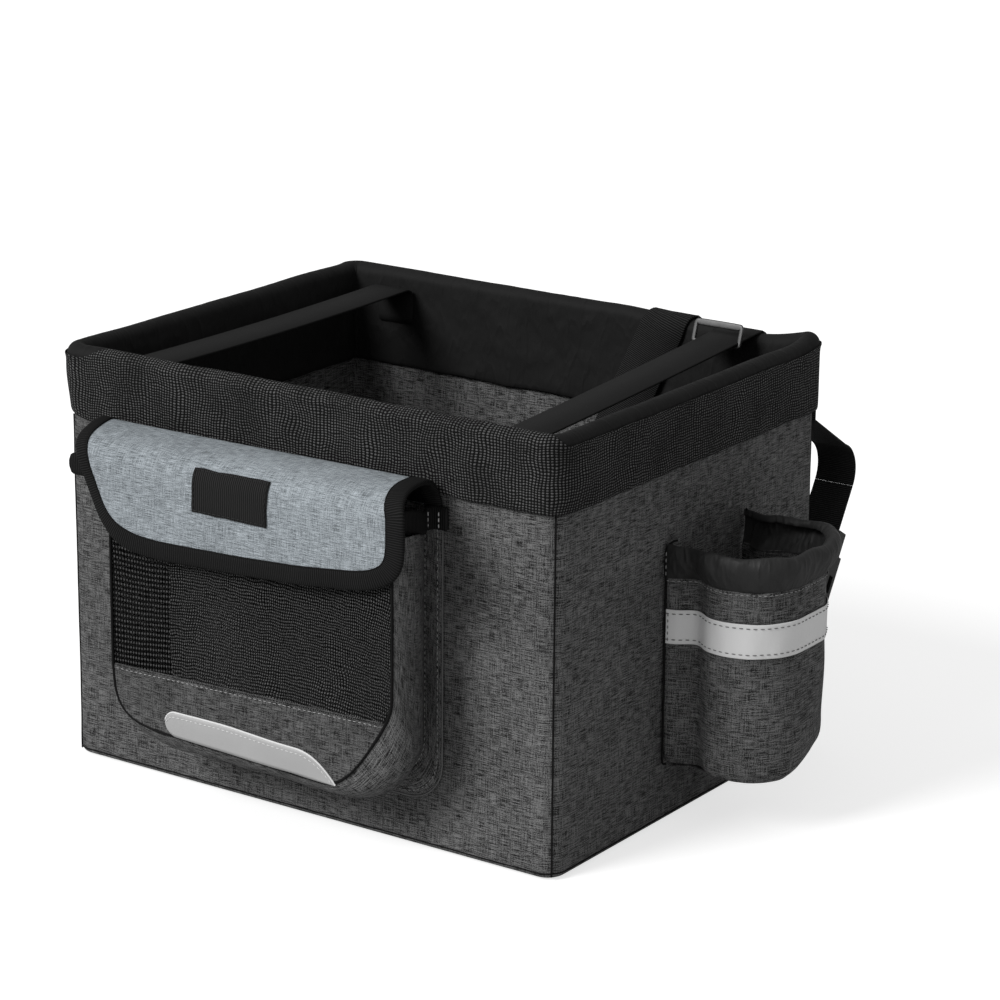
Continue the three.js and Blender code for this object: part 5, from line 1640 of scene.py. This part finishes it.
buildHandlebarStraps()
buildHeadTubeStrap()


tackValues = {"face": 0.75, "halfX": 9.5, "anchorZ": 56.5, "topZ": 192.0, "tubeX": 35.5, "tubeHalfX": 6.0}


def boxTack(x, z, halfX, halfZ):
    # a sewn box with a cross, on a flat tab
    corners = [(-halfX, -halfZ), (halfX, -halfZ), (halfX, halfZ), (-halfX, halfZ)]
    pairs = [(corners[a], corners[b]) for a, b in ((0, 1), (1, 2), (2, 3), (3, 0), (0, 2), (3, 1))]
    y = barValues["wall"] + tackValues["face"]
    return [[(Vector((x + mixed(xa, xb, share), y, z + mixed(za, zb, share))), Vector((0, 1, 0)))
             for share in shares(8)] for (xa, za), (xb, zb) in pairs]


def handlebarTacks():
    v = tackValues
    tacks = []
    for x in (-barValues["x"], barValues["x"]):
        tacks += boxTack(x, v["anchorZ"], v["halfX"], 5.0) + boxTack(x, v["topZ"], v["halfX"], 4.0)
    for x in (-v["tubeX"], v["tubeX"]):
        tacks += boxTack(x, barValues["tubeZ"], v["tubeHalfX"], v["halfX"])
    return tacks


stitchRow("handlebarTacks", handlebarTacks(), darkThread, "black_webbing", 2.4, 1.0, 0.35)
print("handlebar side ready")

# Rigid parts that stay as packed get their finish
buckles = ["buckle_socket_left", "buckle_socket_right", "buckle_plug_left", "buckle_plug_right"]
for names, finish in ((boards + ["board_base"], boardFibre), (["rim_rod"], steel), (buckles, plastic)):
    for name in names:
        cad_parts[name].data.materials.clear()
        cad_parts[name].data.materials.append(finish)
for name in buckles:
    bevel = bevelled(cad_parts[name], 0.7)
    bevel.limit_method = "ANGLE"
    bevel.angle_limit = math.radians(40)

# Floor, light and camera
stageValues = {"sun": 2.35, "spread": 24.0, "from": (-0.33, -0.76, 0.6), "sky": 0.38, "floorGlow": 0.68}


def buildStage():
    v = stageValues
    mesh = bpy.data.meshes.new("floor")
    mesh.from_pydata([(-8, -8, 0), (8, -8, 0), (8, 8, 0), (-8, 8, 0)], [], [(0, 1, 2, 3)])
    floor = linked(bpy.data.objects.new("floor", mesh))
    floor.location.z = -0.0006
    material = bpy.data.materials.new("paleFloor")
    material.use_nodes = True
    tree = material.node_tree
    shader = tree.nodes["Principled BSDF"]
    soft = noiseValue(tree, tree.nodes.new("ShaderNodeTexCoord").outputs["Object"], scale=1.3, detail=2.0)
    tree.links.new(colourMix(tree, soft, grey(196), grey(202)), shader.inputs["Base Color"])
    shader.inputs["Roughness"].default_value = 0.8
    shader.inputs["Specular IOR Level"].default_value = 0.1
    shader.inputs["Emission Color"].default_value = (1, 1, 1, 1)
    seen = tree.nodes.new("ShaderNodeLightPath").outputs["Is Camera Ray"]
    tree.links.new(maths(tree, "MULTIPLY", seen, v["floorGlow"]), shader.inputs["Emission Strength"])
    mesh.materials.append(material)

    world = bpy.data.worlds.new("studio")
    bpy.context.scene.world = world
    world.use_nodes = True
    tree = world.node_tree
    background = tree.nodes["Background"]
    rays = tree.nodes.new("ShaderNodeLightPath").outputs
    seen = maths(tree, "MAXIMUM", rays["Is Camera Ray"], rays["Is Transmission Ray"])
    background.inputs["Color"].default_value = (1, 1, 1, 1)
    strength = maths(tree, "MULTIPLY_ADD", seen, 1.0 - v["sky"], v["sky"])
    tree.links.new(strength, background.inputs["Strength"])

    lamp = bpy.data.lights.new("softSun", "SUN")
    lamp.energy = v["sun"]
    lamp.angle = math.radians(v["spread"])
    holder = linked(bpy.data.objects.new("softSun", lamp))
    holder.rotation_euler = Vector(v["from"]).to_track_quat("Z", "Y").to_euler()


cameraValues = {"lens": 125.26, "yaw": 34.829, "pitch": 16.700, "roll": 0.440,
                "place": (1.096997, -1.522489, 0.709761)}


def buildCamera():
    v = cameraValues
    yaw, pitch, roll = (math.radians(v[key]) for key in ("yaw", "pitch", "roll"))
    forward = Vector((-math.sin(yaw) * math.cos(pitch), math.cos(yaw) * math.cos(pitch), -math.sin(pitch)))
    level = Vector((math.cos(yaw), math.sin(yaw), 0.0))
    upright = level.cross(forward)
    side = level * math.cos(roll) + upright * math.sin(roll)
    up = upright * math.cos(roll) - level * math.sin(roll)
    data = bpy.data.cameras.new("camera")
    data.lens = v["lens"]
    data.sensor_width = 36.0
    data.clip_start, data.clip_end = 0.05, 50.0
    camera = linked(bpy.data.objects.new("camera", data))
    turned = Matrix((side, up, -forward)).transposed().to_4x4()
    turned.translation = Vector(v["place"])
    camera.matrix_world = turned
    bpy.context.scene.camera = camera


buildStage()
buildCamera()
bpy.context.scene.view_settings.view_transform = "Standard"
print("stage, light and camera ready")
